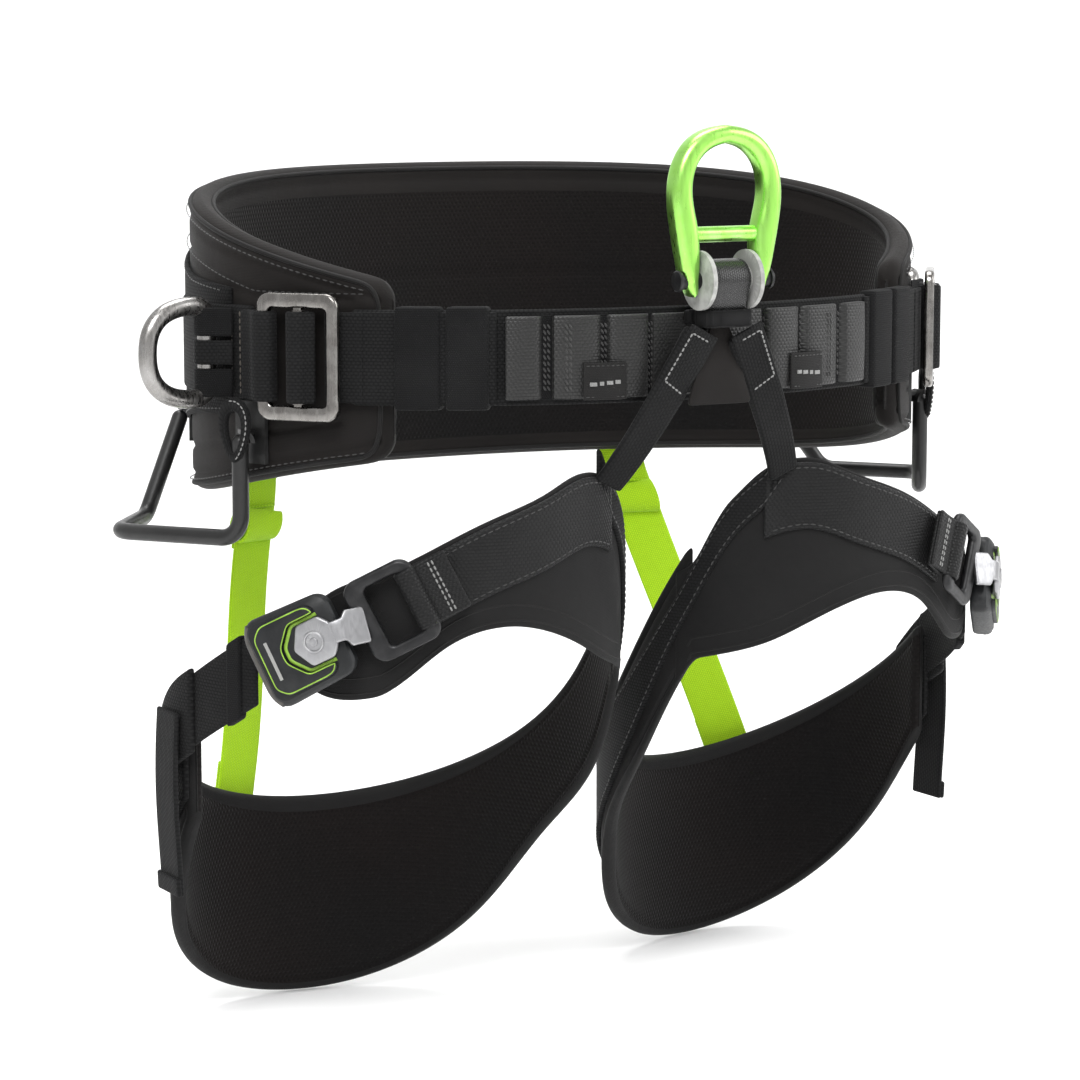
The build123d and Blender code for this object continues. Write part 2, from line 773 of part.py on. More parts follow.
housing_plane = leg_plane(leg_housing_angle, leg_outer, leg_housing_z, leg_buckle_pitch).offset(2.2)
key_seat = leg_housing_thick - key_thick
key_x = -8.0
with BuildPart() as leg_housing:
    with BuildSketch(housing_plane) as housing_outline:
        Rectangle(leg_housing_length, leg_housing_height)
        chamfer(housing_outline.vertices(), leg_housing_corner)
    extrude(amount=leg_housing_thick)
    with BuildSketch(housing_plane.offset(key_seat - key_clear)):
        with Locations((key_x, 0), (key_x + key_travel, 0)):
            RegularPolygon(key_hex_radius + key_clear, 6)
        with Locations((key_x - leg_housing_length / 4, 0)):
            Rectangle(leg_housing_length, key_neck_width + 2 * key_clear)
    extrude(amount=leg_housing_thick, mode=Mode.SUBTRACT)
save_pair(leg_housing.part, "leg_buckle_housing")

with BuildPart() as leg_key:
    with BuildSketch(housing_plane.offset(key_seat)):
        with Locations((key_x, 0)):
            RegularPolygon(key_hex_radius, 6)
        with Locations((key_x - key_hex_radius, 0)):
            Rectangle(2 * key_hex_radius, key_neck_width)
    extrude(amount=key_thick + 0.8)
save_pair(leg_key.part, "leg_buckle_key")

# ---------------------------------------------------------------- front straps

strap_pivot = Vector(strap_top_x, ring_y, strap_pivot_z)
strap_run = front_strap_foot - strap_pivot
strap_way = strap_run.normalized()
strap_across = (Vector(1, 0, 0) - strap_way * strap_way.X).normalized()
with BuildPart() as front_strap:
    with BuildSketch(Plane(origin=strap_pivot, x_dir=strap_across, z_dir=strap_way)):
        RectangleRounded(front_strap_width, front_strap_thick, front_strap_thick * 0.4)
    extrude(amount=strap_run.length)
    with BuildSketch(Plane(origin=strap_pivot, x_dir=(0, 1, 0), z_dir=(1, 0, 0))):
        Circle(front_strap_thick / 2)
    extrude(amount=front_strap_width * 0.44, both=True)
save_pair(front_strap.part, "front_strap")

# ---------------------------------------------------------------- risers at the back

half_riser_angle = degrees(riser_width / 2 / belt_point(riser_angle, pad_thick).length)
save_pair(
    belt_band(
        pad_thick,
        pad_thick + riser_hook_thick,
        pad_back_bottom - 4,
        pad_back_bottom - 4 + riser_hook_height,
        riser_angle - half_riser_angle,
        riser_angle + half_riser_angle,
    ),
    "riser_hook",
)

riser_foot_point = leg_point(riser_foot_angle, leg_outer + riser_thick)
riser_start = belt_point(riser_angle, pad_thick + riser_thick) + Vector(0, 0, riser_top_z)
riser_foot = riser_foot_point + Vector(0, 0, riser_foot_z)
riser_run = riser_foot - riser_start
riser_way = riser_run.normalized()
riser_side = Vector(0.94, -0.33, 0)
riser_across = (riser_side - riser_way * riser_side.dot(riser_way)).normalized()
with BuildPart() as riser:
    with BuildSketch(Plane(origin=riser_start, x_dir=riser_across, z_dir=riser_way)):
        Rectangle(riser_width, riser_thick)
    extrude(amount=riser_run.length)
save_pair(riser.part, "riser")
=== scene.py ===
"""Looks of a tree climbing saddle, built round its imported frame.

Metres, +Z up. The wearer faces -Y and +X is the wearer's left. Pieces of the left side are
worked out first, and the right side is their mirror image.
"""
import bpy
import numpy as np
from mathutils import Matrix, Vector


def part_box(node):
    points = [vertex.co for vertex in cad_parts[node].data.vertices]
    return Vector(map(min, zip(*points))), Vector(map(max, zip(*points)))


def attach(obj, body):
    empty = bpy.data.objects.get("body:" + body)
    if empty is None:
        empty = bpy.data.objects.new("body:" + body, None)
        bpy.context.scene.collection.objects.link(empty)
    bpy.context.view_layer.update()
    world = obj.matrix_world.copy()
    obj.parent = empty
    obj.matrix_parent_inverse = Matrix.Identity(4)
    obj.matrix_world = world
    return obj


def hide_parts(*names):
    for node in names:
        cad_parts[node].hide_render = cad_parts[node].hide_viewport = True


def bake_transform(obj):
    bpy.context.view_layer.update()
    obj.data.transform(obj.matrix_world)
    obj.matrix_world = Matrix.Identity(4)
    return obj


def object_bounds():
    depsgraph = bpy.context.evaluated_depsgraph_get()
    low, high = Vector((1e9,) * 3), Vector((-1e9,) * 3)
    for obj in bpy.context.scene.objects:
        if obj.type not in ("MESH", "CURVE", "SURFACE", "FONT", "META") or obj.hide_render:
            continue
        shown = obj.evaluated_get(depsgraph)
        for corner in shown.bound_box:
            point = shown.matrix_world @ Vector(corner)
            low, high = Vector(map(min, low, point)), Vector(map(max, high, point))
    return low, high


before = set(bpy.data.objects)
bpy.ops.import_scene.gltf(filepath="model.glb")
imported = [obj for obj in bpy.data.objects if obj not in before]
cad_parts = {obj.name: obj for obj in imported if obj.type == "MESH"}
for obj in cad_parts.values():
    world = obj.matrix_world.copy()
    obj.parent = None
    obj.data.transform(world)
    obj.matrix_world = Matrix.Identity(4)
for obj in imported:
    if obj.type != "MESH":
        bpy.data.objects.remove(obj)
cad_low, cad_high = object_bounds()

MM = 0.001
BELT = "hip_belt"

# ------------------------------------------------------------------ sizes and places that pieces share
pad_thick = 14 * MM
web_thick = 2.5 * MM
daisy_thick = 2 * MM
belt_outer = pad_thick + web_thick
half_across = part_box("hip_pad_shell")[1].x - pad_thick
depth_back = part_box("hip_pad_shell")[1].y - pad_thick
depth_front = -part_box("front_daisy_webbing")[0].y - belt_outer - daisy_thick
leg_centre = np.array([115, -32]) * MM
leg_major = 104 * MM
leg_minor = 85 * MM
leg_turn = np.radians(45)
leg_stack = 9 * MM
leg_outer = 11 * MM
buckle_angle = 109.5
rear_strap_end = 100.5
front_strap_start = 116.5
tail_end = 138.5
keeper_angles = (126.5, 134.0)
label_angle = 157.5
hip_ring_angle = 94.5
hip_ring_rest_left = 66.0
ring_y = -150 * MM
axle_z = 35 * MM
leg_housing_angle = -38.5
leg_housing_z = -132 * MM
leg_ladder_angle = -63
leg_ladder_z = -113 * MM
leg_buckle_pitch = 27


# ------------------------------------------------------------------ places on the belt and the legs

def belt_place(angle, grow, height):
    """Point on the belt: radius of an ellipse whose half axes are both larger by grow; angle from the back."""
    turn = np.radians(angle)
    deep = np.where(np.cos(turn) > 0, depth_back, depth_front) + grow
    radius = 1 / np.sqrt((np.sin(turn) / (half_across + grow)) ** 2 + (np.cos(turn) / deep) ** 2)
    return np.stack(np.broadcast_arrays(radius * np.sin(turn), radius * np.cos(turn), height), -1)


def leg_place(angle, grow, height):
    """Point round the leg: radius of a turned ellipse whose half axes are both larger by grow."""
    turn = np.radians(angle)
    local = turn - leg_turn
    radius = 1 / np.sqrt(
        (np.cos(local) / (leg_major + grow)) ** 2 + (np.sin(local) / (leg_minor + grow)) ** 2
    )
    east = leg_centre[0] + radius * np.cos(turn)
    north = leg_centre[1] + radius * np.sin(turn)
    return np.stack(np.broadcast_arrays(east, north, height), -1)


def belt_angle(points):
    """Angle of points round the belt, 0 at the middle of the back and growing towards the left."""
    return np.degrees(np.arctan2(points[:, 0], points[:, 1])) % 360


def leg_angle(points):
    """Angle of points round the left leg, 0 straight outwards and growing towards the back."""
    return np.degrees(np.arctan2(points[:, 1] - leg_centre[1], points[:, 0] - leg_centre[0])) % 360


def edges_of(node, angle_of, start):
    """Lower and upper edge of a CAD node as functions of the angle, found where the node's own
    mesh edges cross each angle; start is an angle just before the node begins."""
    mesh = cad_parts[node].data
    points = np.zeros(len(mesh.vertices) * 3, np.float32)
    mesh.vertices.foreach_get("co", points)
    points = points.reshape(-1, 3).astype(float)
    pairs = np.zeros(len(mesh.edges) * 2, np.int32)
    mesh.edges.foreach_get("vertices", pairs)
    ends = ((angle_of(points) - start) % 360)[pairs.reshape(-1, 2)]
    heights = points[:, 2][pairs.reshape(-1, 2)]
    swap = ends[:, 0] > ends[:, 1]
    ends[swap] = ends[swap][:, ::-1]
    heights[swap] = heights[swap][:, ::-1]
    span = np.maximum(ends[:, 1] - ends[:, 0], 1e-9)
    asked = np.linspace(ends.min() + 0.02, ends.max() - 0.02, 241)
    share = (asked[:, None] - ends[None, :, 0]) / span
    inside = (share >= 0) & (share <= 1) & (span < 90)
    crossing = heights[None, :, 0] + share * (heights[None, :, 1] - heights[None, :, 0])
    low = np.where(inside, crossing, 9).min(1)
    high = np.where(inside, crossing, -9).max(1)

    def between(angle):
        at = (np.asarray(angle) - start) % 360
        return np.interp(at, asked, low), np.interp(at, asked, high)

    between.first = start + asked[0]
    between.last = start + asked[-1]
    return between


# ------------------------------------------------------------------ mesh making

class Shape:
    """Points, faces, cloth coordinates and finishes gathered for one piece."""

    def __init__(self):
        self.points = []
        self.faces = []
        self.cloth = []
        self.finish = []
        self.count = 0

    def grid(self, points, cloth, ring=False, finish=0):
        """Closed skin over n rows of k points. Rows join in order, and the last one joins the first
        if ring is true. Open ends get flat caps. Faces turn outwards by the sign of the volume."""
        n, k = points.shape[:2]
        i, j = np.meshgrid(np.arange(n if ring else n - 1), np.arange(k), indexing="ij")
        i2, j2 = (i + 1) % n, (j + 1) % k
        quads = np.stack([i * k + j, i2 * k + j, i2 * k + j2, i * k + j2], -1).reshape(-1, 4)
        corner = np.stack(
            [cloth[i, j], cloth[i + 1, j], cloth[i + 1, j + 1], cloth[i, j + 1]], 2
        ).reshape(-1, 4, 2)
        flat = points.reshape(-1, 3)
        a, b, c, d = (flat[quads[:, x]] - flat.mean(0) for x in range(4))
        volume = (np.cross(a, b) * c).sum() + (np.cross(a, c) * d).sum()
        order = slice(None) if volume > 0 else slice(None, None, -1)
        self.faces.extend((quads[:, order] + self.count).tolist())
        self.cloth.append(corner[:, order].reshape(-1, 2))
        columns = np.broadcast_to(np.asarray(finish), (k,))
        self.finish.extend(columns[j].ravel().tolist())
        if not ring:
            first = np.arange(k)[::-1] if volume > 0 else np.arange(k)
            last = (np.arange(k) if volume > 0 else np.arange(k)[::-1]) + (n - 1) * k
            for cap, row in ((first, 0), (last, n - 1)):
                self.faces.append((cap + self.count).tolist())
                self.cloth.append(cloth[row, cap % k])
                self.finish.append(int(columns[0]))
        self.points.append(flat)
        self.count += len(flat)
        return self

    def copies(self, template, faces, places, finish=0):
        """One small closed form repeated: places are (m, 4, 3), three axes and an origin each."""
        m, t = len(places), len(template)
        points = np.einsum("ta,mac->mtc", template, places[:, :3]) + places[:, None, 3]
        quads = (faces[None] + (np.arange(m) * t)[:, None, None]).reshape(-1, faces.shape[1])
        turned = np.linalg.det(places[0, :3]) < 0
        self.faces.extend(((quads[:, ::-1] if turned else quads) + self.count).tolist())
        self.cloth.append(np.zeros((quads.size, 2)))
        self.finish.extend([finish] * len(quads))
        self.points.append(points.reshape(-1, 3))
        self.count += m * t
        return self

    def make(self, name, body, materials, side=1, smooth=40):
        """Mesh object of everything gathered; side -1 mirrors it to the right and turns its faces."""
        points = np.concatenate(self.points) * np.array([side, 1, 1])
        faces = self.faces if side > 0 else [face[::-1] for face in self.faces]
        cloth = np.concatenate(self.cloth)
        if side < 0:
            sizes = np.array([len(face) for face in faces])
            ends = np.cumsum(sizes)
            turned = np.repeat(ends + ends - sizes - 1, sizes) - np.arange(len(cloth))
            cloth = cloth[turned]
        mesh = bpy.data.meshes.new(name)
        mesh.from_pydata(points.tolist(), [], faces)
        mesh.uv_layers.new(name="cloth").data.foreach_set("uv", cloth.astype(np.float32).ravel())
        mesh.polygons.foreach_set("material_index", np.array(self.finish, np.int32))
        for material in materials if isinstance(materials, (list, tuple)) else [materials]:
            mesh.materials.append(material)
        mesh.update()
        thing = bpy.data.objects.new(name, mesh)
        bpy.context.collection.objects.link(thing)
        mesh.shade_smooth()
        if smooth:
            mesh.set_sharp_from_angle(angle=np.radians(smooth))
        if body:
            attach(thing, body)
        return thing


def unit(v):
    """Vectors scaled to length one."""
    return v / np.maximum(np.linalg.norm(v, axis=-1, keepdims=True), 1e-12)


def level_out(points):
    """Level vectors from the middle of the belt through points, scaled to length one."""
    return unit(points * np.array([1, 1, 0]))


def distances(line):
    """Distance of each point of a line from its start, measured along it."""
    return np.concatenate([[0], np.cumsum(np.linalg.norm(np.diff(line, axis=0), axis=1))])


def resample(at, known, points):
    """Points read off a line at new positions, straight between the known ones."""
    return np.stack([np.interp(at, known, points[:, x]) for x in range(points.shape[1])], 1)


def slab_profile(flat_steps, corner_steps=3):
    """Rounded rectangle as multipliers (thickness, width) of its straight half sides and of its corner
    radius, starting at the outer face and going round once."""
    turn = np.linspace(0, np.pi / 2, corner_steps + 1)[1:-1] if corner_steps > 1 else np.zeros(0)
    run = np.linspace(-1, 1, flat_steps + 1)
    outer = np.stack([run * 0 + 1, run, run * 0 + 1, run * 0], 1)
    top = np.stack([turn * 0 + 1, turn * 0 + 1, np.cos(turn), np.sin(turn)], 1)
    over = np.stack([-(turn * 0 + 1), turn * 0 + 1, -np.sin(turn), np.cos(turn)], 1)
    crown = np.array([[1, 1, 0, 1], [-1, 1, 0, 1]])
    half = np.concatenate([outer, top, crown, over])
    return np.concatenate([half, -half])


def stations(length, step, round_end):
    """Distances along a strap: even steps, with closer ones where its ends are rounded."""
    even = np.linspace(0, length, max(4, int(length / step) + 1))
    close = round_end * (1 - np.cos(np.linspace(0, np.pi / 2, 5)))
    inner = even[(even > round_end * 1.1) & (even < length - round_end * 1.1)]
    return np.concatenate([close, inner, length - close[::-1]])


def end_shrink(distance, length, radius):
    """How far a form draws in near its rounded ends: a quarter circle of the given radius."""
    near = np.minimum(distance, length - distance)
    gap = np.clip(radius - near, 0, radius)
    return radius - np.sqrt(np.maximum(radius ** 2 - gap ** 2, 0))


def slab_rows(profile, thick, width, corner, shrink):
    """Rounded rectangle of every row as (rows, points) arrays of thickness and width coordinates."""
    t = np.maximum(thick / 2 - shrink, 0.05 * MM)[:, None]
    w = np.maximum(width / 2 - shrink, 0.05 * MM)[:, None]
    r = np.minimum(np.minimum(t, w), corner)
    big_t, big_w, c_t, c_w = profile.T
    return big_t * (t - r) + r * c_t, big_w * (w - r) + r * c_w


def band(
    place, first, last, edges, inner, outer, step=4 * MM, corner=None, flat_steps=10, push=None, inset=0.0,
    taper=None
):
    """Slab lying on an oval: at each angle its section is a rounded rectangle between two distances
    from the oval and between the lower and upper edge. push(angle, s) adds to the outer face, and
    taper(angle) scales the thickness, keeping the outer face."""
    fine = np.linspace(first, last, 721)
    run = place(fine, (inner + outer) / 2, 0.0)
    lengths = distances(run)
    corner = (outer - inner) / 2 if corner is None else corner
    along = stations(lengths[-1], step, corner)
    angle = np.interp(along, lengths, fine)
    start = np.full_like(angle, inner) if taper is None else outer - (outer - inner) * taper(angle)
    low, high = edges(angle) if callable(edges) else (
        np.full_like(angle, edges[0]), np.full_like(angle, edges[1])
    )
    low, high = low + inset, high - inset
    profile = slab_profile(flat_steps)
    shrink = end_shrink(along, lengths[-1], min(corner, (outer - inner) / 2))
    grow, s = slab_rows(profile, outer - start, high - low, corner, shrink)
    height = (low + high)[:, None] / 2 + s
    share = s / np.maximum((high - low)[:, None] / 2, 1e-6)
    grow = grow + (start + outer)[:, None] / 2
    if push is not None:
        grow = grow + push(angle[:, None], share) * np.clip(profile[:, 0], 0, 1)
    points = place(angle[:, None], grow, height)
    cloth = np.stack([np.broadcast_to(along[:, None], height.shape), height], -1)
    return points, np.concatenate([cloth, cloth[:, :1]], 1)


def smooth_line(corners, count, radius):
    """Points along a curve of even steps through the corners: repeated averaging of a dense broken line."""
    corners = np.asarray(corners, float)
    lengths = distances(corners)
    at = np.linspace(0, lengths[-1], count)
    line = resample(at, lengths, corners)
    reach = max(1, int(round(radius / (lengths[-1] / count))))
    kernel = np.ones(2 * reach + 1) / (2 * reach + 1)
    for _ in range(3):
        padded = np.concatenate([2 * line[0] - line[reach:0:-1], line, 2 * line[-1] - line[-2:-reach - 2:-1]])
        line = np.stack([np.convolve(padded[:, x], kernel, "valid") for x in range(line.shape[1])], 1)
    line[0], line[-1] = corners[0], corners[-1]
    return line


def even_steps(line, step):
    """The same line with points a step apart."""
    lengths = distances(line)
    at = np.linspace(0, lengths[-1], max(3, int(lengths[-1] / step) + 1))
    return resample(at, lengths, line)


def strap(line, across, width, thick, step=3 * MM, corner=None, flat_steps=6, bow=0.0, narrow=None):
    """Flat strap along a line: a rounded rectangle whose width follows the across vectors, bowed by a
    parabola over its width. narrow(share along) scales the width."""
    line = np.asarray(line, float)
    lengths = distances(line)
    corner = thick / 2 if corner is None else corner
    along = stations(lengths[-1], step, min(corner, thick / 2))
    centre = resample(along, lengths, line)
    way = unit(np.gradient(centre, along, axis=0))
    if np.ndim(across) == 1:
        side = np.broadcast_to(across, centre.shape)
    else:
        side = resample(along, lengths, across)
    side = unit(side - way * (side * way).sum(1, keepdims=True))
    out = np.cross(way, side)
    scale = np.ones(len(along)) if narrow is None else narrow(along / lengths[-1])
    shrink = end_shrink(along, lengths[-1], min(corner, thick / 2))
    t, s = slab_rows(slab_profile(flat_steps), np.full_like(along, thick), width * scale, corner, shrink)
    t = t - bow * (s / (width / 2)) ** 2
    points = centre[:, None] + t[..., None] * out[:, None] + s[..., None] * side[:, None]
    cloth = np.stack([np.broadcast_to(along[:, None], s.shape), s], -1)
    return points, np.concatenate([cloth, cloth[:, :1]], 1)


def rod(line, radius, around=16, ring=False, up=(0, 0, 1), squash=1.0):
    """Round bar along a line: a circle of given radius, or one for each point, carried in frames kept
    square to the line; squash flattens it along the second axis."""
    line = np.asarray(line, float)
    if ring:
        way = unit(np.roll(line, -1, 0) - np.roll(line, 1, 0))
    else:
        way = unit(np.gradient(line, axis=0))
    side = unit(np.cross(way, np.asarray(up, float)))
    other = np.cross(way, side)
    turn = np.linspace(0, 2 * np.pi, around, endpoint=False)
    radius = np.broadcast_to(radius, len(line))[:, None, None]
    circle = np.cos(turn)[None, :, None] * side[:, None] + squash * np.sin(turn)[None, :, None] * other[:, None]
    points = line[:, None] + radius * circle
    closed = np.concatenate([line, line[:1]]) if ring else line
    along = distances(closed)
    girth = np.linspace(0, 2 * np.pi * float(radius.max()), around + 1)
    cloth = np.stack(np.broadcast_arrays(along[:, None], girth[None]), -1)
    return points, cloth


def frame_bar(outside, inside, plane, low, high, corner, steps=3):
    """Closed frame: a rounded rectangle section carried round between an outer and an inner outline,
    both lists of the same number of plane points, from one height of the plane to another."""
    origin, x_way, y_way, z_way = plane
    profile = slab_profile(1, steps)
    gap = np.linalg.norm(outside - inside, axis=1)
    t, s = slab_rows(profile, np.full(len(gap), high - low), gap, corner, 0 * gap)
    middle = (outside + inside) / 2
    way = unit(outside - inside)
    flat = middle[:, None] + s[..., None] * way[:, None]
    points = (
        origin
        + flat[..., :1] * x_way
        + flat[..., 1:] * y_way
        + (t + (low + high) / 2)[..., None] * z_way
    )
    n, k = t.shape
    cloth = np.stack(np.broadcast_arrays(np.arange(n + 1)[:, None] * MM, np.arange(k + 1)[None] * MM), -1)
    return points, cloth


def plate(outline, plane, low, high, corner, steps=3):
    """Solid plate: the outline drawn in by a quarter circle at its lower and upper rim, as rows from
    the middle of the lower face to the middle of the upper one."""
    origin, x_way, y_way, z_way = plane
    turn = np.linspace(0, np.pi / 2, steps + 1)
    draw = np.concatenate([corner * (1 - np.sin(turn)), corner * (1 - np.cos(turn))])
    rise = np.concatenate([low + corner * (1 - np.cos(turn)), high - corner * (1 - np.sin(turn))])
    middle = outline.mean(0)
    reach = np.linalg.norm(outline - middle, axis=1).mean()
    size = np.concatenate([[0.02, 0.5], 1 - draw / reach, [0.5, 0.02]])
    rise = np.concatenate([[low, low], rise, [high, high]])
    flat = middle + (outline - middle)[None] * size[:, None, None]
    points = origin + flat[..., :1] * x_way + flat[..., 1:] * y_way + rise[:, None, None] * z_way
    cloth = np.concatenate([flat, flat[:, :1]], 1)
    return points, cloth


def round_outline(half_x, half_y, radius, count=48, centre=(0, 0)):
    """Rounded rectangle outline with count points, spread by quarter circles at its corners."""
    per = count // 4
    turn = np.linspace(0, np.pi / 2, per)
    outline = []
    for quarter in range(4):
        sx = (1, -1, -1, 1)[quarter]
        sy = (1, 1, -1, -1)[quarter]
        a = turn + quarter * np.pi / 2
        outline.append(
            np.stack(
                [sx * (half_x - radius) + radius * np.cos(a), sy * (half_y - radius) + radius * np.sin(a)], 1
            )
        )
    return np.concatenate(outline) + np.array(centre)


def plane_of(origin, x_way, z_way):
    """Plane as its origin and three axes, y square to x and z."""
    x_way = unit(np.asarray(x_way, float))
    z_way = unit(np.asarray(z_way, float))
    return np.asarray(origin, float), x_way, np.cross(z_way, x_way), z_way


def belt_plane(angle, grow, height=0.0):
    """Plane on the belt: x towards the back, y up, z away from the body."""
    origin = belt_place(angle, grow, height)
    deep = (depth_back if np.cos(np.radians(angle)) > 0 else depth_front) + grow
    out = unit(np.array([origin[0] / (half_across + grow) ** 2, origin[1] / deep ** 2, 0]))
    return plane_of(origin, np.cross([0, 0, 1], out), out)


def leg_plane(angle, grow, height, pitch):
    """Plane on the leg loop: x along the strap outwards and down, z away from the leg."""
    here, ahead = leg_place(np.array([angle, angle + 0.01]), grow, height)
    sideways = unit(ahead - here)
    out = np.cross(sideways, [0, 0, 1])
    p = np.radians(pitch)
    return plane_of(here, sideways * np.cos(p) - np.array([0, 0, 1]) * np.sin(p), out)


def on_plane(plane, flat, height=0.0):
    """Points of a plane in space."""
    flat = np.asarray(flat, float)
    return plane[0] + flat[..., :1] * plane[1] + flat[..., 1:2] * plane[2] + height * plane[3]


# ------------------------------------------------------------------ stitches

def stitch_form():
    """Low hump of thread: three rings of six points, the middle one full size and the ends pinched."""
    turn = np.linspace(0, 2 * np.pi, 6, endpoint=False)
    rings = [(-0.5, 0.35), (-0.2, 1.0), (0.2, 1.0), (0.5, 0.35)]
    points = np.concatenate(
        [np.stack([turn * 0 + x, r * np.cos(turn) / 2, r * np.sin(turn) / 2], 1) for x, r in rings]
    )
    i, j = np.meshgrid(np.arange(3), np.arange(6), indexing="ij")
    quads = np.stack(
        [i * 6 + j, (i + 1) * 6 + j, (i + 1) * 6 + (j + 1) % 6, i * 6 + (j + 1) % 6], -1
    ).reshape(-1, 4)
    caps = np.array([[0, 1, 2, 3], [0, 3, 4, 5], [21, 20, 19, 18], [23, 22, 21, 18]])
    return points, np.concatenate([quads[:, ::-1], caps[:, ::-1]])


STITCH, STITCH_FACES = stitch_form()


def stitch_row(shape, line, out, long=2.6 * MM, gap=1.0 * MM, thick=0.7 * MM, slant=0.0, finish=0):
    """Row of stitches along a line: one thread hump each step, turned a little by slant, lying on the
    surface whose outward vector is out."""
    line = np.asarray(line, float)
    dense = even_steps(line, long + gap)
    middle = (dense[1:] + dense[:-1]) / 2
    way = unit(dense[1:] - dense[:-1])
    if np.ndim(out) == 1:
        away = np.broadcast_to(out, way.shape)
    else:
        share = np.linspace(0, 1, len(out))
        away = resample(np.linspace(0, 1, len(way)), share, out)
    side = unit(np.cross(away, way))
    away = np.cross(way, side)
    turned = way * np.cos(slant) + side * np.sin(slant)
    other = side * np.cos(slant) - way * np.sin(slant)
    places = np.stack([turned * long, other * thick, away * thick, middle], 1)
    return shape.copies(STITCH, STITCH_FACES, places, finish)


# ------------------------------------------------------------------ shader groups

def new_group(name, inputs, outputs):
    """Empty shader node group with named float or vector inputs and float outputs."""
    group = bpy.data.node_groups.new(name, "ShaderNodeTree")
    for label, kind, value in inputs:
        socket = group.interface.new_socket(label, in_out="INPUT", socket_type=kind)
        if value is not None:
            socket.default_value = value
    for label in outputs:
        group.interface.new_socket(label, in_out="OUTPUT", socket_type="NodeSocketFloat")
    return group, group.nodes.new("NodeGroupInput"), group.nodes.new("NodeGroupOutput")


class Wiring:
    """Short way to add maths nodes to a node tree and join them."""

    def __init__(self, tree):
        self.tree = tree

    def node(self, kind, **settings):
        """New node with the given settings."""
        made = self.tree.nodes.new(kind)
        for key, value in settings.items():
            setattr(made, key, value)
        return made

    def put(self, socket, value):
        """Join a socket, or set it when the value is a plain number."""
        if isinstance(value, (int, float, tuple)):
            socket.default_value = value
        else:
            self.tree.links.new(value, socket)

    def math(self, operation, a, b=0.0, c=None):
        """One Math node."""
        made = self.node("ShaderNodeMath", operation=operation)
        self.put(made.inputs[0], a)
        self.put(made.inputs[1], b)
        if c is not None:
            self.put(made.inputs[2], c)
        return made.outputs[0]

    def noise(self, vector, scale, detail=3.0, rough=0.55):
        """Noise value from 0 to 1."""
        made = self.node("ShaderNodeTexNoise")
        self.put(made.inputs["Vector"], vector)
        made.inputs["Scale"].default_value = scale
        made.inputs["Detail"].default_value = detail
        made.inputs["Roughness"].default_value = rough
        return made.outputs["Fac"]

    def span(self, value, low, high, to_low=0.0, to_high=1.0):
        """Value mapped from one span to another and kept inside it."""
        made = self.node("ShaderNodeMapRange")
        self.put(made.inputs[0], value)
        for socket, number in zip(made.inputs[1:5], (low, high, to_low, to_high)):
            self.put(socket, number)
        return made.outputs[0]

    def mix(self, share, a, b):
        """Colour between two colours."""
        made = self.node("ShaderNodeMix", data_type="RGBA")
        self.put(made.inputs[0], share)
        self.put(made.inputs[6], a)
        self.put(made.inputs[7], b)
        return made.outputs[2]


def build_weave_group():
    """Woven cloth: warp ribs across V and weft steps along U, each rib's crossings shifted by half a
    step, so the height is |sin| of U plus a shift that alternates with V. Pitches are in metres."""
    group, given, out = new_group(
        "woven_ribs",
        [
            ("Cloth", "NodeSocketVector", None),
            ("Rib", "NodeSocketFloat", 1.6 * MM),
            ("Step", "NodeSocketFloat", 2.0 * MM),
            ("Fuzz", "NodeSocketFloat", 0.3),
        ],
        ["Height", "Shade"],
    )
    w = Wiring(group)
    parts = w.node("ShaderNodeSeparateXYZ")
    w.put(parts.inputs[0], given.outputs["Cloth"])
    rib = w.math("DIVIDE", parts.outputs[1], given.outputs["Rib"])
    step = w.math("DIVIDE", parts.outputs[0], given.outputs["Step"])
    odd = w.math("MULTIPLY", w.math("FLOOR", rib), 0.5)
    across = w.math("ABSOLUTE", w.math("SINE", w.math("MULTIPLY", rib, np.pi)))
    along = w.math("ABSOLUTE", w.math("SINE", w.math("MULTIPLY", w.math("ADD", step, odd), np.pi)))
    body = w.math("MULTIPLY", w.math("POWER", across, 0.5), w.math("POWER", along, 0.45))
    fuzz = w.noise(given.outputs["Cloth"], 1400.0, 2.0)
    blur = w.math("MULTIPLY", w.math("SUBTRACT", fuzz, 0.5), given.outputs["Fuzz"])
    height = w.math("ADD", body, blur)
    w.put(out.inputs["Height"], height)
    # Shade is the height as a share from groove to thread top; the materials use it to paint shade into the
    # grooves and to lighten the thread tops.
    w.put(out.inputs["Shade"], w.span(height, 0.1, 1.0))
    return group


def build_knit_group():
    """Spacer mesh: small round holes on a staggered lattice. The height is the distance from the
    nearest hole centre, worked out from U and V with every second row shifted by half a pitch."""
    group, given, out = new_group(
        "spacer_mesh",
        [("Cloth", "NodeSocketVector", None), ("Pitch", "NodeSocketFloat", 3.2 * MM)],
        ["Height", "Hole"],
    )
    w = Wiring(group)
    parts = w.node("ShaderNodeSeparateXYZ")
    w.put(parts.inputs[0], given.outputs["Cloth"])
    row = w.math("DIVIDE", parts.outputs[1], w.math("MULTIPLY", given.outputs["Pitch"], 0.866))
    shift = w.math("MULTIPLY", w.math("MODULO", w.math("ABSOLUTE", w.math("FLOOR", row)), 2.0), 0.5)
    column = w.math("ADD", w.math("DIVIDE", parts.outputs[0], given.outputs["Pitch"]), shift)
    x = w.math("SUBTRACT", w.math("FRACT", column), 0.5)
    y = w.math("SUBTRACT", w.math("FRACT", row), 0.5)
    far = w.math("SQRT", w.math("ADD", w.math("MULTIPLY", x, x), w.math("MULTIPLY", y, y)))
    w.put(out.inputs["Height"], w.span(far, 0.12, 0.42))
    # Hole marks the holes, where the lining paints shade.
    w.put(out.inputs["Hole"], w.span(far, 0.14, 0.30, 1.0, 0.0))
    return group


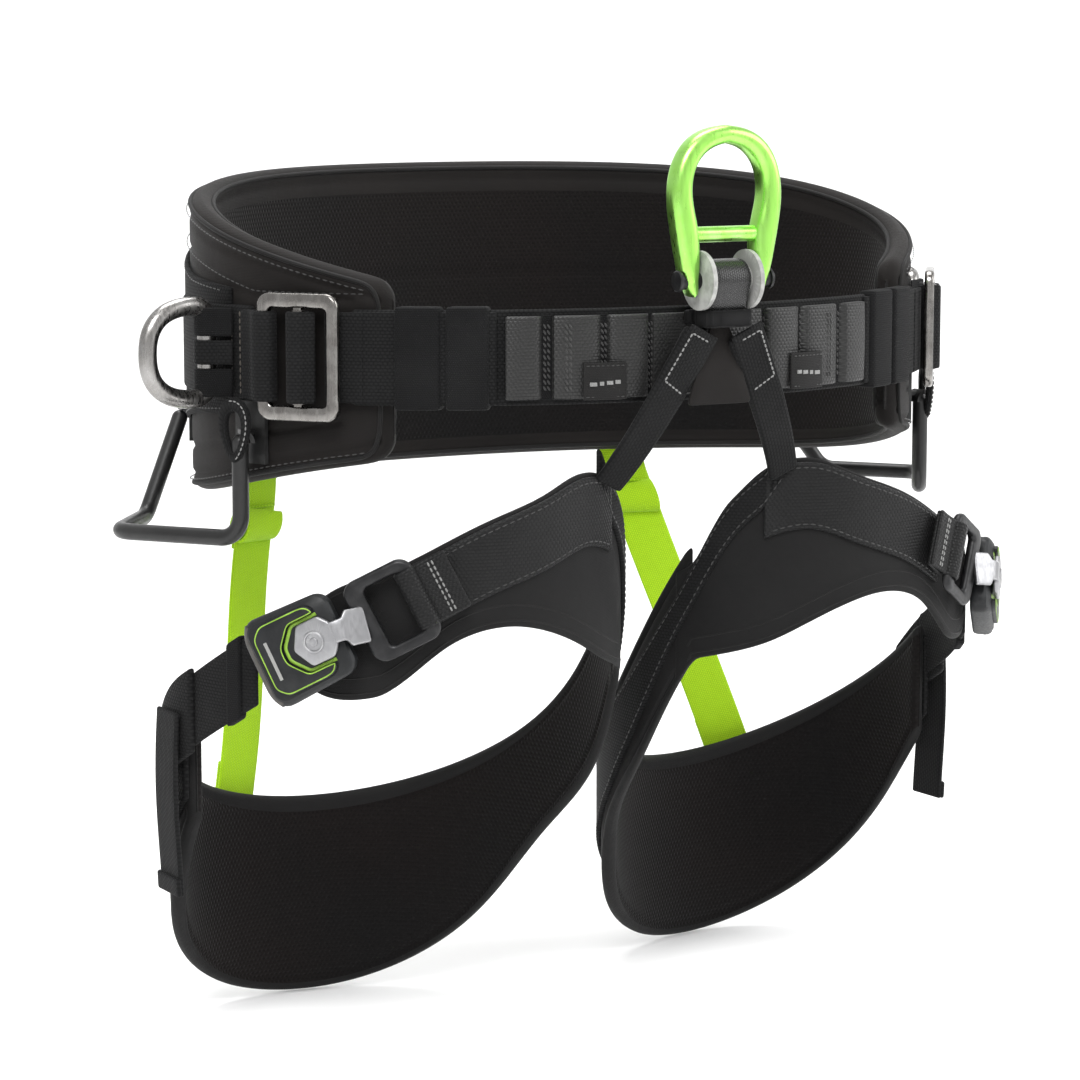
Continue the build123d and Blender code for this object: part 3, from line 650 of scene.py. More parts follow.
def build_wear_and_edge_light_group():
    """Use marks and edge light: a pointed-edge mask broken up by noise, and a soft dust cloud, both from 0 to 1.
    The edge mask gives edge wear, and on the green anodising a painted highlight.
    """
    group, given, out = new_group(
        "use_marks",
        [("Place", "NodeSocketVector", None), ("Amount", "NodeSocketFloat", 0.5)],
        ["Edge", "Dust", "Scratch"],
    )
    w = Wiring(group)
    sharp = w.node("ShaderNodeNewGeometry")
    edge = w.span(sharp.outputs["Pointiness"], 0.505, 0.56)
    spots = w.noise(given.outputs["Place"], 160.0, 4.0)
    broken = w.math("MULTIPLY", edge, w.span(spots, 0.42, 0.62))
    w.put(out.inputs["Edge"], w.math("MULTIPLY", broken, given.outputs["Amount"]))
    cloud = w.span(w.noise(given.outputs["Place"], 22.0, 5.0), 0.45, 0.75)
    w.put(out.inputs["Dust"], w.math("MULTIPLY", cloud, given.outputs["Amount"]))
    stretch = w.node("ShaderNodeMapping")
    w.put(stretch.inputs["Vector"], given.outputs["Place"])
    stretch.inputs["Scale"].default_value = (900.0, 900.0, 60.0)
    lines = w.noise(stretch.outputs[0], 1.0, 2.0)
    w.put(out.inputs["Scratch"], w.span(lines, 0.35, 0.7))
    return group


WOVEN = build_weave_group()
KNIT = build_knit_group()
WEAR_AND_EDGE_LIGHT = build_wear_and_edge_light_group()


def new_material(name, rough, metal=0.0):
    """Material with its Principled shader and a wiring helper; plain numbers sit on the shader itself."""
    material = bpy.data.materials.new(name)
    material.use_nodes = True
    w = Wiring(material.node_tree)
    shader = material.node_tree.nodes["Principled BSDF"]
    shader.inputs["Roughness"].default_value = rough
    shader.inputs["Metallic"].default_value = metal
    return material, w, shader


def use_group(w, group, **values):
    """Group node placed with its own values."""
    made = w.node("ShaderNodeGroup", node_tree=group)
    for label, value in values.items():
        w.put(made.inputs[label], value)
    return made.outputs


def bump(w, shader, height, depth):
    """Height in metres feeding the shader's normal."""
    made = w.node("ShaderNodeBump")
    made.inputs["Strength"].default_value = 1.0
    made.inputs["Distance"].default_value = depth
    w.put(made.inputs["Height"], height)
    w.put(shader.inputs["Normal"], made.outputs[0])


def rgb(r, g, b):
    """Colour with full cover."""
    return (r, g, b, 1.0)


def cloth_coords(w):
    """The piece's own cloth coordinates, in metres."""
    return w.node("ShaderNodeUVMap", uv_map="cloth").outputs[0]


def place_coords(w):
    """Object coordinates."""
    return w.node("ShaderNodeTexCoord").outputs["Object"]


def woven(
    name, dark, light, rib=1.6 * MM, step=2.2 * MM, rough=0.75, depth=0.25 * MM, sheen=0.3, fuzz=0.3,
    dust=0.4, gloss=0.22
):
    """Woven strap: ribbed weave for roughness, relief and painted shade in its grooves, with a little dust in it.
    """
    material, w, shader = new_material(name, rough)
    cloth = cloth_coords(w)
    weave = use_group(w, WOVEN, Cloth=cloth, Rib=rib, Step=step, Fuzz=fuzz)
    marks = use_group(w, WEAR_AND_EDGE_LIGHT, Place=place_coords(w), Amount=dust)
    # Painted shade: the weave's grooves take the dark colour and its thread tops the light one.
    colour = w.mix(weave["Shade"], rgb(*dark), rgb(*light))
    dusty = w.mix(w.math("MULTIPLY", marks["Dust"], 0.16), colour, rgb(*[0.75 * c + 0.06 for c in light]))
    w.put(shader.inputs["Base Color"], dusty)
    w.put(shader.inputs["Roughness"], w.span(weave["Shade"], 0.0, 1.0, min(1.0, rough + 0.12), rough - 0.08))
    shader.inputs["Specular IOR Level"].default_value = gloss
    shader.inputs["Sheen Weight"].default_value = sheen
    shader.inputs["Sheen Roughness"].default_value = 0.45
    bump(w, shader, weave["Height"], depth)
    return material


def shell_cloth(name, dark, light, rough=0.62, fine=0.7 * MM, depth=0.08 * MM, sheen=0.25, wrinkle=0.5):
    """Stretch shell fabric: a very fine weave with painted shade in its grooves, long soft creases and a slow
    change of tone.
    """
    material, w, shader = new_material(name, rough)
    cloth = cloth_coords(w)
    place = place_coords(w)
    weave = use_group(w, WOVEN, Cloth=cloth, Rib=fine, Step=fine * 1.3, Fuzz=0.5)
    tone = w.noise(place, 14.0, 3.0)
    crease = w.noise(place, 55.0, 3.0, 0.5)
    base = w.mix(w.span(tone, 0.35, 0.65), rgb(*dark), rgb(*light))
    # Painted shade: the fine weave's thread tops are lighter than its grooves.
    colour = w.mix(w.math("MULTIPLY", weave["Shade"], 0.35), base, rgb(*[1.5 * c for c in light]))
    w.put(shader.inputs["Base Color"], colour)
    w.put(shader.inputs["Roughness"], w.span(tone, 0.3, 0.7, rough - 0.06, rough + 0.08))
    shader.inputs["Specular IOR Level"].default_value = 0.11
    shader.inputs["Sheen Weight"].default_value = sheen
    shader.inputs["Sheen Roughness"].default_value = 0.5
    relief = w.math(
        "ADD", w.math("MULTIPLY", weave["Height"], depth), w.math("MULTIPLY", crease, wrinkle * MM)
    )
    bump(w, shader, relief, 1.0)
    return material


def mesh_cloth(name, dark, light, pitch=2.6 * MM):
    """Airy lining: a lattice of small holes in a soft knit, the holes darkened with painted shade."""
    material, w, shader = new_material(name, 0.9)
    knit = use_group(w, KNIT, Cloth=cloth_coords(w), Pitch=pitch)
    place = place_coords(w)
    tone = w.span(w.noise(place, 9.0, 3.0), 0.35, 0.65)
    base = w.mix(tone, rgb(*dark), rgb(*light))
    # Painted shade: the holes are mixed towards near black.
    w.put(
        shader.inputs["Base Color"],
        w.mix(w.math("MULTIPLY", knit["Hole"], 0.45), base, rgb(0.002, 0.002, 0.002))
    )
    w.put(shader.inputs["Roughness"], w.span(tone, 0.0, 1.0, 0.84, 0.96))
    shader.inputs["Specular IOR Level"].default_value = 0.15
    shader.inputs["Sheen Weight"].default_value = 0.05
    bump(
        w, shader, w.math("ADD", knit["Height"], w.math("MULTIPLY", w.noise(place, 1200.0, 2.0), 0.4)),
        0.28 * MM
    )
    return material


def metal(name, colour, edge_wear_and_highlight, rough, scratch=0.12, grain=0.02, wear=0.6, coat=0.0, metallic=1.0):
    """Bare or coloured metal: fine scratches in roughness and relief, and a second colour on sharp edges:
    bare metal on worn edges, and on the green anodising a pale green painted highlight.
    """
    material, w, shader = new_material(name, rough, metallic)
    place = place_coords(w)
    marks = use_group(w, WEAR_AND_EDGE_LIGHT, Place=place, Amount=wear)
    tone = w.span(w.noise(place, 60.0, 4.0), 0.3, 0.7)
    base = w.mix(w.math("MULTIPLY", tone, 0.3), rgb(*colour), rgb(*[0.72 * c for c in colour]))
    # Sharp edges broken up by noise take the second colour: edge wear, and for the green anodising a painted
    # highlight.
    w.put(shader.inputs["Base Color"], w.mix(marks["Edge"], base, rgb(*edge_wear_and_highlight)))
    spread = w.math("MULTIPLY", marks["Scratch"], scratch)
    w.put(shader.inputs["Roughness"], w.math("ADD", spread, rough - scratch / 2))
    shader.inputs["Coat Weight"].default_value = coat
    shader.inputs["Coat Roughness"].default_value = 0.2
    bump(w, shader, w.math("ADD", marks["Scratch"], w.noise(place, 700.0, 2.0)), grain * MM)
    return material


def moulded(name, colour, rough, grain=0.05, coat=0.0, gloss=0.4):
    """Moulded plastic or rubber: a fine leathery grain, dust and rubbed edges."""
    material, w, shader = new_material(name, rough)
    place = place_coords(w)
    marks = use_group(w, WEAR_AND_EDGE_LIGHT, Place=place, Amount=0.5)
    edge = w.mix(marks["Edge"], rgb(*colour), rgb(*[1.9 * c + 0.02 for c in colour]))
    w.put(
        shader.inputs["Base Color"], w.mix(w.math("MULTIPLY", marks["Dust"], 0.12), edge, rgb(0.2, 0.2, 0.19))
    )
    pits = w.noise(place, 900.0, 3.0)
    w.put(shader.inputs["Roughness"], w.span(pits, 0.3, 0.7, rough - 0.07, rough + 0.1))
    shader.inputs["Specular IOR Level"].default_value = gloss
    shader.inputs["Coat Weight"].default_value = coat
    bump(w, shader, pits, grain * MM)
    return material


def thread(name, colour):
    """Sewing thread: twisted strands as a fine slanted ripple."""
    material, w, shader = new_material(name, 0.6)
    place = place_coords(w)
    twist = w.noise(place, 2200.0, 2.0)
    w.put(
        shader.inputs["Base Color"],
        w.mix(w.span(twist, 0.3, 0.7), rgb(*[0.6 * c for c in colour]), rgb(*colour))
    )
    shader.inputs["Sheen Weight"].default_value = 0.3
    bump(w, shader, twist, 0.1 * MM)
    return material


BLACK_WEBBING = woven(
    "black_webbing", (0.0028, 0.0028, 0.0029), (0.0085, 0.0085, 0.0088), sheen=0.03, gloss=0.13
)
SHINY_WEBBING = woven(
    "doubled_webbing", (0.0050, 0.0050, 0.0049), (0.017, 0.0168, 0.0165), rough=0.38, sheen=0.04, gloss=0.34
)
LOOP_WEBBING = woven(
    "ring_loop_webbing", (0.0030, 0.0030, 0.0030), (0.0080, 0.0080, 0.0080), 1.2 * MM, 1.4 * MM, 0.28,
    0.10 * MM, 0.02, gloss=0.5
)
LEG_WEBBING = woven(
    "leg_strap_webbing", (0.0030, 0.0030, 0.0031), (0.0100, 0.0100, 0.0102), rough=0.42, sheen=0.02,
    gloss=0.16
)
BLACK_ELASTIC = woven(
    "black_elastic", (0.0030, 0.0030, 0.0032), (0.0080, 0.0080, 0.0084), 1.0 * MM, 1.1 * MM, sheen=0.03,
    gloss=0.10
)
GREEN_ELASTIC = woven(
    "green_elastic", (0.22, 0.44, 0.003), (0.38, 0.62, 0.006), 1.1 * MM, 1.4 * MM, 0.7, dust=0.1, sheen=0.1
)
BINDING = woven(
    "edge_binding", (0.0035, 0.0033, 0.0033), (0.0110, 0.0104, 0.0102), 0.8 * MM, 0.9 * MM, 0.66, 0.12 * MM,
    0.05, gloss=0.18
)
SHELL = shell_cloth("pad_shell", (0.0050, 0.0043, 0.0040), (0.0092, 0.0078, 0.0072), sheen=0.05)
LEG_SHELL = shell_cloth(
    "leg_shell", (0.0050, 0.0049, 0.0050), (0.0092, 0.0090, 0.0090), wrinkle=0.7, sheen=0.03
)
LINING = mesh_cloth("pad_lining", (0.0030, 0.0027, 0.0027), (0.0062, 0.0048, 0.0045))
# Its pale green edge colour is a painted highlight on the sharp edges, not worn metal.
GREEN_METAL = metal(
    "green_anodised", (0.36, 0.78, 0.13), (0.56, 0.90, 0.38), 0.33, grain=0.01, wear=0.3, coat=0.3
)
STEEL = metal("buckle_steel", (0.20, 0.19, 0.18), (0.46, 0.45, 0.43), 0.24, scratch=0.2)
ALLOY = metal("satin_alloy", (0.30, 0.29, 0.28), (0.5, 0.5, 0.5), 0.30, scratch=0.18)
KEY_METAL = metal("key_plate", (0.33, 0.33, 0.34), (0.5, 0.5, 0.5), 0.45, scratch=0.15)
BLACK_ALLOY = metal("black_alloy", (0.012, 0.012, 0.013), (0.10, 0.10, 0.10), 0.40, metallic=0.5, wear=0.3)
HOUSING = moulded("black_housing", (0.0075, 0.0083, 0.0092), 0.42, grain=0.05, gloss=0.28)
GEAR_TUBE = moulded("gear_tube", (0.0065, 0.0065, 0.0065), 0.42, grain=0.02, coat=0.15)
THIMBLE = moulded("grey_thimble", (0.26, 0.26, 0.25), 0.5, grain=0.03)
GREEN_PAINT = moulded("green_line", (0.19, 0.34, 0.03), 0.45, grain=0.02)
RIM = moulded("housing_rim", (0.050, 0.046, 0.042), 0.5, grain=0.03)
PALE_THREAD = thread("pale_thread", (0.22, 0.22, 0.215))
DARK_THREAD = thread("dark_thread", (0.014, 0.0135, 0.013))
GREEN_THREAD = thread("green_thread", (0.16, 0.30, 0.01))
BROWN_THREAD = thread("brown_thread", (0.075, 0.062, 0.048))


# ------------------------------------------------------------------ soft pads

def puff(thing, cap, pressure=4.0):
    """Blow a closed pad up a little with cloth simulation, keep each point within cap of where it
    was, and divide the faces once."""
    mesh = thing.data
    count = len(mesh.vertices)
    start = np.zeros(count * 3, np.float32)
    mesh.vertices.foreach_get("co", start)
    moved = start
    cloth = thing.modifiers.new("cloth", "CLOTH")
    cloth.settings.quality = 4
    cloth.settings.mass = 0.3
    cloth.settings.tension_stiffness = 12
    cloth.settings.compression_stiffness = 12
    cloth.settings.bending_stiffness = 0.6
    cloth.settings.use_pressure = True
    cloth.settings.uniform_pressure_force = pressure
    cloth.settings.effector_weights.gravity = 0
    cloth.point_cache.frame_start = 1
    cloth.point_cache.frame_end = 20
    for number in range(1, 21):
        bpy.context.scene.frame_set(number)
    solved = thing.evaluated_get(bpy.context.evaluated_depsgraph_get()).to_mesh()
    moved = np.zeros(count * 3, np.float32)
    solved.vertices.foreach_get("co", moved)
    thing.modifiers.clear()
    bpy.context.scene.frame_set(1)
    shift = (moved - start).reshape(-1, 3).astype(float)
    size = np.linalg.norm(shift, axis=1, keepdims=True)
    shift *= np.minimum(1, cap / np.maximum(size, 1e-9))
    mesh.vertices.foreach_set("co", (start + shift.ravel()).astype(np.float32))
    divide = thing.modifiers.new("divide", "SUBSURF")
    divide.levels = divide.render_levels = 1
    made = bpy.data.meshes.new_from_object(thing.evaluated_get(bpy.context.evaluated_depsgraph_get()))
    made.name = mesh.name
    thing.modifiers.clear()
    thing.data = made
    made.shade_smooth()
    return thing


def press_seams(thing, side, angle_of, place, middle, seams, outer=True):
    """Press sewn channels into one face of a pad: each seam is (height as a function of the angle,
    first angle, last angle, depth, half width); the dent is a bell curve of the distance from it."""
    mesh = thing.data
    points = np.zeros(len(mesh.vertices) * 3, np.float32)
    mesh.vertices.foreach_get("co", points)
    points = points.reshape(-1, 3).astype(float) * np.array([side, 1, 1])
    angle = angle_of(points)
    low, high = place(angle, 0.0, 0.0), place(angle, 1 * MM, 0.0)
    out = unit(high - low)
    grow = ((points - low) * out)[:, :2].sum(1)
    facing = grow > middle if outer else grow < middle
    move = np.zeros(len(points))
    for line, first, last, depth, half in seams:
        share = (angle - first) % 360
        inside = (share < last - first) & facing
        move += np.where(inside, depth * np.exp(-((points[:, 2] - line(angle)) / half) ** 2), 0)
    points -= out * move[:, None] * (1 if outer else -1)
    mesh.vertices.foreach_set("co", (points * np.array([side, 1, 1])).astype(np.float32).ravel())
    mesh.update()


def face_columns(flat_steps, corner_steps, face, rim, lining, border=0.0):
    """Finish of each profile column: outer face, rims, and an inner face with a border like the rim."""
    profile = slab_profile(flat_steps, corner_steps)
    inner = (profile[:, 0] < -0.5) & (np.abs(profile[:, 1]) < 1 - border) & (np.abs(profile[:, 3]) < 0.01)
    outer = (profile[:, 0] > 0.5) & (np.abs(profile[:, 3]) < 0.01)
    return np.where(inner, lining, np.where(outer, face, rim))


hip_edges = edges_of("hip_pad_shell", belt_angle, 200)


def hip_pad():
    """Waist pad: foam between a shell and a mesh lining, thick in the middle and pinched at its rims,
    with sewn channels where the shell's panels meet."""
    shape = Shape()
    points, cloth = band(
        belt_place, hip_edges.first, hip_edges.last, hip_edges, 0.6 * MM, pad_thick - 1.2 * MM,
        step=5 * MM, corner=6 * MM, flat_steps=30,
    )
    shape.grid(points, cloth, finish=face_columns(30, 3, 0, 0, 1, 0.07))
    pad = shape.make("hip_pad", None, [SHELL, LINING], smooth=0)
    puff(pad, 1.1 * MM)
    low_at = lambda a: hip_edges(a)[0]
    high_at = lambda a: hip_edges(a)[1]
    upper = lambda a: high_at(a) - 9 * MM
    lower = lambda a: low_at(a) + 8 * MM
    panel = lambda a: np.maximum(high_at(a) - 25 * MM, 27 * MM)
    outside = [(line, 240, 480, 1.4 * MM, 1.6 * MM) for line in (upper, lower)]
    outside += [
        (panel, 244, 476, 1.6 * MM, 1.8 * MM),
        (lambda a: np.minimum(low_at(a) + 22 * MM, -26 * MM), 246, 474, 1.5 * MM, 1.8 * MM)
    ]
    press_seams(pad, 1, belt_angle, belt_place, pad_thick / 2, outside)
    inside = [(line, 241, 479, 1.6 * MM, 1.8 * MM) for line in (upper, lower)]
    inside += [
        (lambda a: 22 * MM, 290, 430, 1.3 * MM, 2.2 * MM), (lambda a: -22 * MM, 290, 430, 1.3 * MM, 2.2 * MM)
    ]
    press_seams(pad, 1, belt_angle, belt_place, pad_thick / 2, inside, outer=False)
    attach(pad, BELT)
    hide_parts("hip_pad_lining", "hip_pad_foam", "hip_pad_shell")
    return pad


def rim_line(place, edges, grow, inset, step=3 * MM, margin=1.0):
    """Closed line a little inside the outline of a pad: out along the upper edge, down the end, back
    along the lower edge and up the other end."""
    angle = np.linspace(edges.first + margin, edges.last - margin, 300)
    low, high = edges(angle)
    low, high = low + inset, high - inset
    top = place(angle, grow, high)
    bottom = place(angle[::-1], grow, low[::-1])
    down = place(angle[-1], grow, np.linspace(high[-1], low[-1], 12)[1:-1])
    up = place(angle[0], grow, np.linspace(low[0], high[0], 12)[1:-1])
    loop = np.concatenate([top, down, bottom, up])
    for _ in range(6):
        loop = (np.roll(loop, 1, 0) + 2 * loop + np.roll(loop, -1, 0)) / 4
    closed = even_steps(np.concatenate([loop, loop[:1]]), step)
    return closed[:-1]


def hip_trim():
    """Piping round the inner rim of the waist pad and rows of stitches beside the panel seams."""
    piping = Shape()
    for grow in (1.0 * MM, pad_thick - 1.6 * MM):
        piping.grid(*rod(rim_line(belt_place, hip_edges, grow, 3.4 * MM), 1.15 * MM, 8, ring=True), ring=True)
    piping.make("hip_pad_piping", BELT, BINDING, smooth=0)
    rows = Shape()
    angle = np.linspace(hip_edges.first + 3, hip_edges.last - 3, 400)
    low, high = hip_edges(angle)
    for height in (high - 6.5 * MM, low + 5.5 * MM, np.maximum(high - 22.5 * MM, 29.5 * MM)):
        line = belt_place(angle, pad_thick + 0.1 * MM, height)
        stitch_row(rows, line, level_out(line), long=2.4 * MM, gap=1.2 * MM, thick=0.6 * MM)
    rows.make("hip_pad_stitching", BELT, DARK_THREAD)


def load_tapes(side, name):
    """Two tapes sewn on the shell that spread the pull of the hip ring up and down towards the back."""
    for label, end_height in (("upper", 46 * MM), ("lower", -44 * MM)):
        middle = lambda a: np.interp(
            a, [34, 60, 84, 97], [end_height, end_height * 0.82, end_height * 0.5, end_height * 0.42]
        )
        edges = lambda a: (middle(a) - 11 * MM, middle(a) + 11 * MM)
        tape = Shape().grid(
            *band(belt_place, 34, 96, edges, pad_thick - 1.0 * MM, pad_thick + 1.4 * MM, flat_steps=8)
        )
        made = tape.make(f"{name}_load_tape_{label}", BELT, BLACK_WEBBING, side)
        rows = Shape()
        angle = np.linspace(36, 94, 120)
        for offset in (-8.5 * MM, 8.5 * MM):
            line = belt_place(angle, pad_thick + 1.5 * MM, middle(angle) + offset)
            stitch_row(rows, line, level_out(line), long=2.6 * MM, gap=1.1 * MM, thick=0.6 * MM)
        rows.make(f"{name}_load_tape_{label}_stitching", BELT, DARK_THREAD, side)


# ------------------------------------------------------------------ belt webbing

half_web = 22.5 * MM


def belt_webbing():
    """Belt strap in two lengths, behind and in front of the buckles, with the doubled front strap that
    bulges between its rows of cross stitching."""
    edges = (-half_web, half_web)
    rear = Shape().grid(
        *band(
            belt_place, -rear_strap_end, rear_strap_end, edges, pad_thick - 1.5 * MM, belt_outer, step=6 * MM
        )
    )
    thing = rear.make("rear_webbing_strap", BELT, BLACK_WEBBING)
    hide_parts("rear_webbing")
    front = Shape().grid(
        *band(
            belt_place, front_strap_start, 360 - front_strap_start, edges, pad_thick - 0.4 * MM, belt_outer,
            step=4 * MM
        )
    )
    for first, last in ((front_strap_start, tail_end), (360 - tail_end, 360 - front_strap_start)):
        front.grid(
            *band(
                belt_place, first, last, (-21.5 * MM, 21.5 * MM), belt_outer, belt_outer + 2 * MM, step=4 * MM
            )
        )
    thing = front.make("front_webbing_strap", BELT, BLACK_WEBBING)
    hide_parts("front_webbing")

    cells = np.array([[-1.0, 12.5], [13.6, 21.7], [23.4, 32.2], [34.0, 41.0]])

    def bulge(angle, s):
        """Rise over each pocket, 3 mm times sine to the power 0.35, and a dip of 1.6 mm where the strap
        is sewn down between pockets."""
        off = np.abs(angle - 180)
        rise = np.full(off.shape, -1.6 * MM)
        for number, (first, last) in enumerate(cells):
            share = np.clip((off - first) / (last - first), 0, 1)
            high = (0.5 if number == 0 else 3.0) * MM
            rise = np.where((off > first) & (off < last), np.sin(np.pi * share) ** 0.35 * high, rise)
        return rise * (1 - 0.15 * s ** 2)

    doubled = Shape().grid(
        *band(
            belt_place, 140, 220, (-19.5 * MM, 19.5 * MM), belt_outer, belt_outer + daisy_thick,
            step=1.2 * MM, push=bulge
        )
    )
    thing = doubled.make("front_daisy_strap", BELT, SHINY_WEBBING)
    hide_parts("front_daisy_webbing")
    # Dark strips in the gaps between pockets: partly the sewn-down strap, partly painted shade in the valleys.
    gaps = Shape()
    for (_, first), (last, _) in zip(cells[:-1], cells[1:]):
        for way in (-1, 1):
            span = sorted((180 + way * (first - 0.2), 180 + way * (last + 0.2)))
            gaps.grid(
                *band(
                    belt_place, *span, (-19.7 * MM, 19.7 * MM), belt_outer + 0.2 * MM, belt_outer + 0.9 * MM,
                    step=1 * MM
                )
            )
    gaps.make("front_daisy_tack_and_shade_strips", BELT, BLACK_ELASTIC)
    rows = Shape()
    for tack in (13.05, 22.5, 29.2, 33.1):
        for way in (-1, 1):
            for offset in (-0.35, 0.35):
                angle = 180 + way * (tack + offset)
                height = np.linspace(-16, 16, 60) * MM
                line = belt_place(angle, belt_outer + (4.9 if tack == 29.2 else 1.1) * MM, height)
                out = level_out(line[0])
                stitch_row(rows, line, out, long=2.4 * MM, gap=0.5 * MM, thick=0.9 * MM, slant=0.5)
    rows.make("front_daisy_stitching", BELT, DARK_THREAD)


def belt_keepers(side, name):
    """Elastic keepers round the front strap, a little crowned."""
    for number, angle in enumerate(keeper_angles, 1):
        half = 3.3
        keeper = Shape()
        hold = half_web + 1.6 * MM
        outer = belt_outer + 4.2 * MM
        crown = lambda a, s: (0.5 * MM * (1 - ((a - angle) / half) ** 2))
        keeper.grid(
            *band(
                belt_place, angle - half, angle + half, (-hold, hold), pad_thick - 1 * MM, outer,
                step=1.5 * MM, corner=1.6 * MM, push=crown
            )
        )
        thing = keeper.make(f"{name}_keeper_{number}_elastic", BELT, BLACK_ELASTIC, side)
        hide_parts(f"{name}_belt_keeper_{number}")


def label_loop(side, name):
    """Folded label tab below the doubled strap, with plain pale bars and a stitched edge."""
    centre = label_angle
    tab = Shape()
    curl = lambda a, s: 0.9 * MM * np.sin(np.clip((a - centre + 4) / 8, 0, 1) * np.pi) - 0.2 * MM * s
    grow = belt_outer + daisy_thick + 3.3 * MM
    tab.grid(
        *band(
            belt_place, centre - 4.1, centre + 4.1, (-20 * MM, -2.5 * MM), grow, grow + 1.1 * MM,
            step=1.5 * MM, push=curl
        )
    )
    thing = tab.make(f"{name}_label_tab", BELT, BINDING, side)
    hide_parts(f"{name}_label_loop")
    marks = Shape()
    for number, (start, end) in enumerate(((-2.9, -1.6), (-1.1, -0.3), (0.2, 1.4), (1.8, 2.8))):
        height = (-12.6 + 0.3 * number) * MM
        edges = (height - 0.9 * MM, height + 0.9 * MM)
        marks.grid(
            *band(
                belt_place, centre + start, centre + end, edges, grow + 1.0 * MM, grow + 2.15 * MM,
                step=1.2 * MM, corner=0.1 * MM, flat_steps=2
            )
        )
    marks.make(f"{name}_label_marks", BELT, PALE_THREAD, side)
    rows = Shape()
    angle = np.linspace(centre - 3.7, centre + 3.7, 20)
    for height in (-18.6 * MM, -4.0 * MM):
        line = belt_place(angle, grow + 1.7 * MM, height)
        stitch_row(rows, line, level_out(line[0]), long=1.6 * MM, gap=0.8 * MM, thick=0.5 * MM)
    rows.make(f"{name}_label_stitching", BELT, DARK_THREAD, side)


# ------------------------------------------------------------------ waist buckles

def waist_buckle(side, name):
    """Forged slide buckle: frame with swept corners, a sliding bar in a folded strap, and two rows of
    stitches behind it."""
    plane = belt_plane(buckle_angle, belt_outer)
    low, high = 3.7 * MM, 8.5 * MM
    outline = round_outline(21 * MM, 30 * MM, 6.5 * MM, 64)
    window = round_outline(15 * MM, 23 * MM, 2.5 * MM, 64)
    waist = 1 - 0.06 * np.exp(-(outline[:, 1] / (12 * MM)) ** 2) * (outline[:, 0] < -10 * MM)
    outline = outline * np.stack([waist, waist * 0 + 1], 1)
    body = Shape().grid(*frame_bar(outline, window, plane, low, high, 1.5 * MM), ring=True)
    thing = body.make(f"{name}_buckle_frame", BELT, STEEL, side)
    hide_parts(f"{name}_waist_buckle")
    slide = f"{name}_buckle_bar_body"
    middle = 6.1 * MM
    bar_line = on_plane(plane, np.stack([np.zeros(30), np.linspace(-22, 22, 30) * MM], 1), middle)
    bar = Shape().grid(*rod(bar_line, 3.4 * MM, 20, up=plane[3]))
    ends = on_plane(plane, np.stack([np.zeros(20), np.linspace(-25.5, 25.5, 20) * MM], 1), middle)
    bar.grid(*strap(ends, plane[1], 4.2 * MM, 3.2 * MM, corner=0.6 * MM))
    thing = bar.make(f"{name}_buckle_bar", slide, STEEL, side)
    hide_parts(f"{name}_waist_buckle_bar")
    turn = np.radians(np.linspace(-150, 150, 60))
    fold = Shape()
    loop = np.stack([4.75 * MM * np.cos(turn), 4.75 * MM * np.sin(turn)], 1)
    loop = np.concatenate([loop, np.array([[-6.4, 0.9], [-8.4, -0.7]]) * MM])
    line = plane[0] + loop[:, :1] * plane[1] + (loop[:, 1:] + middle) * plane[3]
    fold.grid(*strap(line, plane[2], 43 * MM, 2.3 * MM, step=1.2 * MM, flat_steps=12))
    thing = fold.make(f"{name}_webbing_roll", slide, BLACK_WEBBING, side)
    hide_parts(f"{name}_waist_webbing_fold")
    rows = Shape()
    for angle in (98.6, 96.9):
        line = belt_place(angle, belt_outer + 0.1 * MM, np.linspace(-20, 20, 40) * MM)
        stitch_row(rows, line, level_out(line[0]), long=2.4 * MM, gap=0.8 * MM, thick=0.8 * MM)
    rows.make(f"{name}_buckle_stitching", BELT, BROWN_THREAD, side)
    link = Shape()
    over = np.array([
        [30, 1.3], [24, 1.3], [17, 1.6], [13.5, 3.2], [12.7, 6.1], [13.5, 9.0],
        [17.5, 10.4], [21.6, 9.4], [23.8, 6.0], [27, 3.9], [31, 3.6],
    ]) * MM
    over = smooth_line(over, 110, 1.2 * MM)
    line = plane[0] + over[:, :1] * plane[1] + over[:, 1:] * plane[3]
    link.grid(*strap(line, plane[2], 42.5 * MM, 2.2 * MM, step=1.5 * MM, flat_steps=10))
    link.make(f"{name}_buckle_link_strap", BELT, BLACK_WEBBING, side)
    tail = Shape()
    run = np.linspace(112.9, 118.5, 40)
    tail.grid(
        *strap(
            belt_place(run, belt_outer + 1.5 * MM, 0.0), np.array([0, 0, 1]), 42.5 * MM, 2.2 * MM,
            flat_steps=10
        )
    )
    tail.make(f"{name}_buckle_front_strap", BELT, BLACK_WEBBING, side)


# ------------------------------------------------------------------ hip rings and gear loops

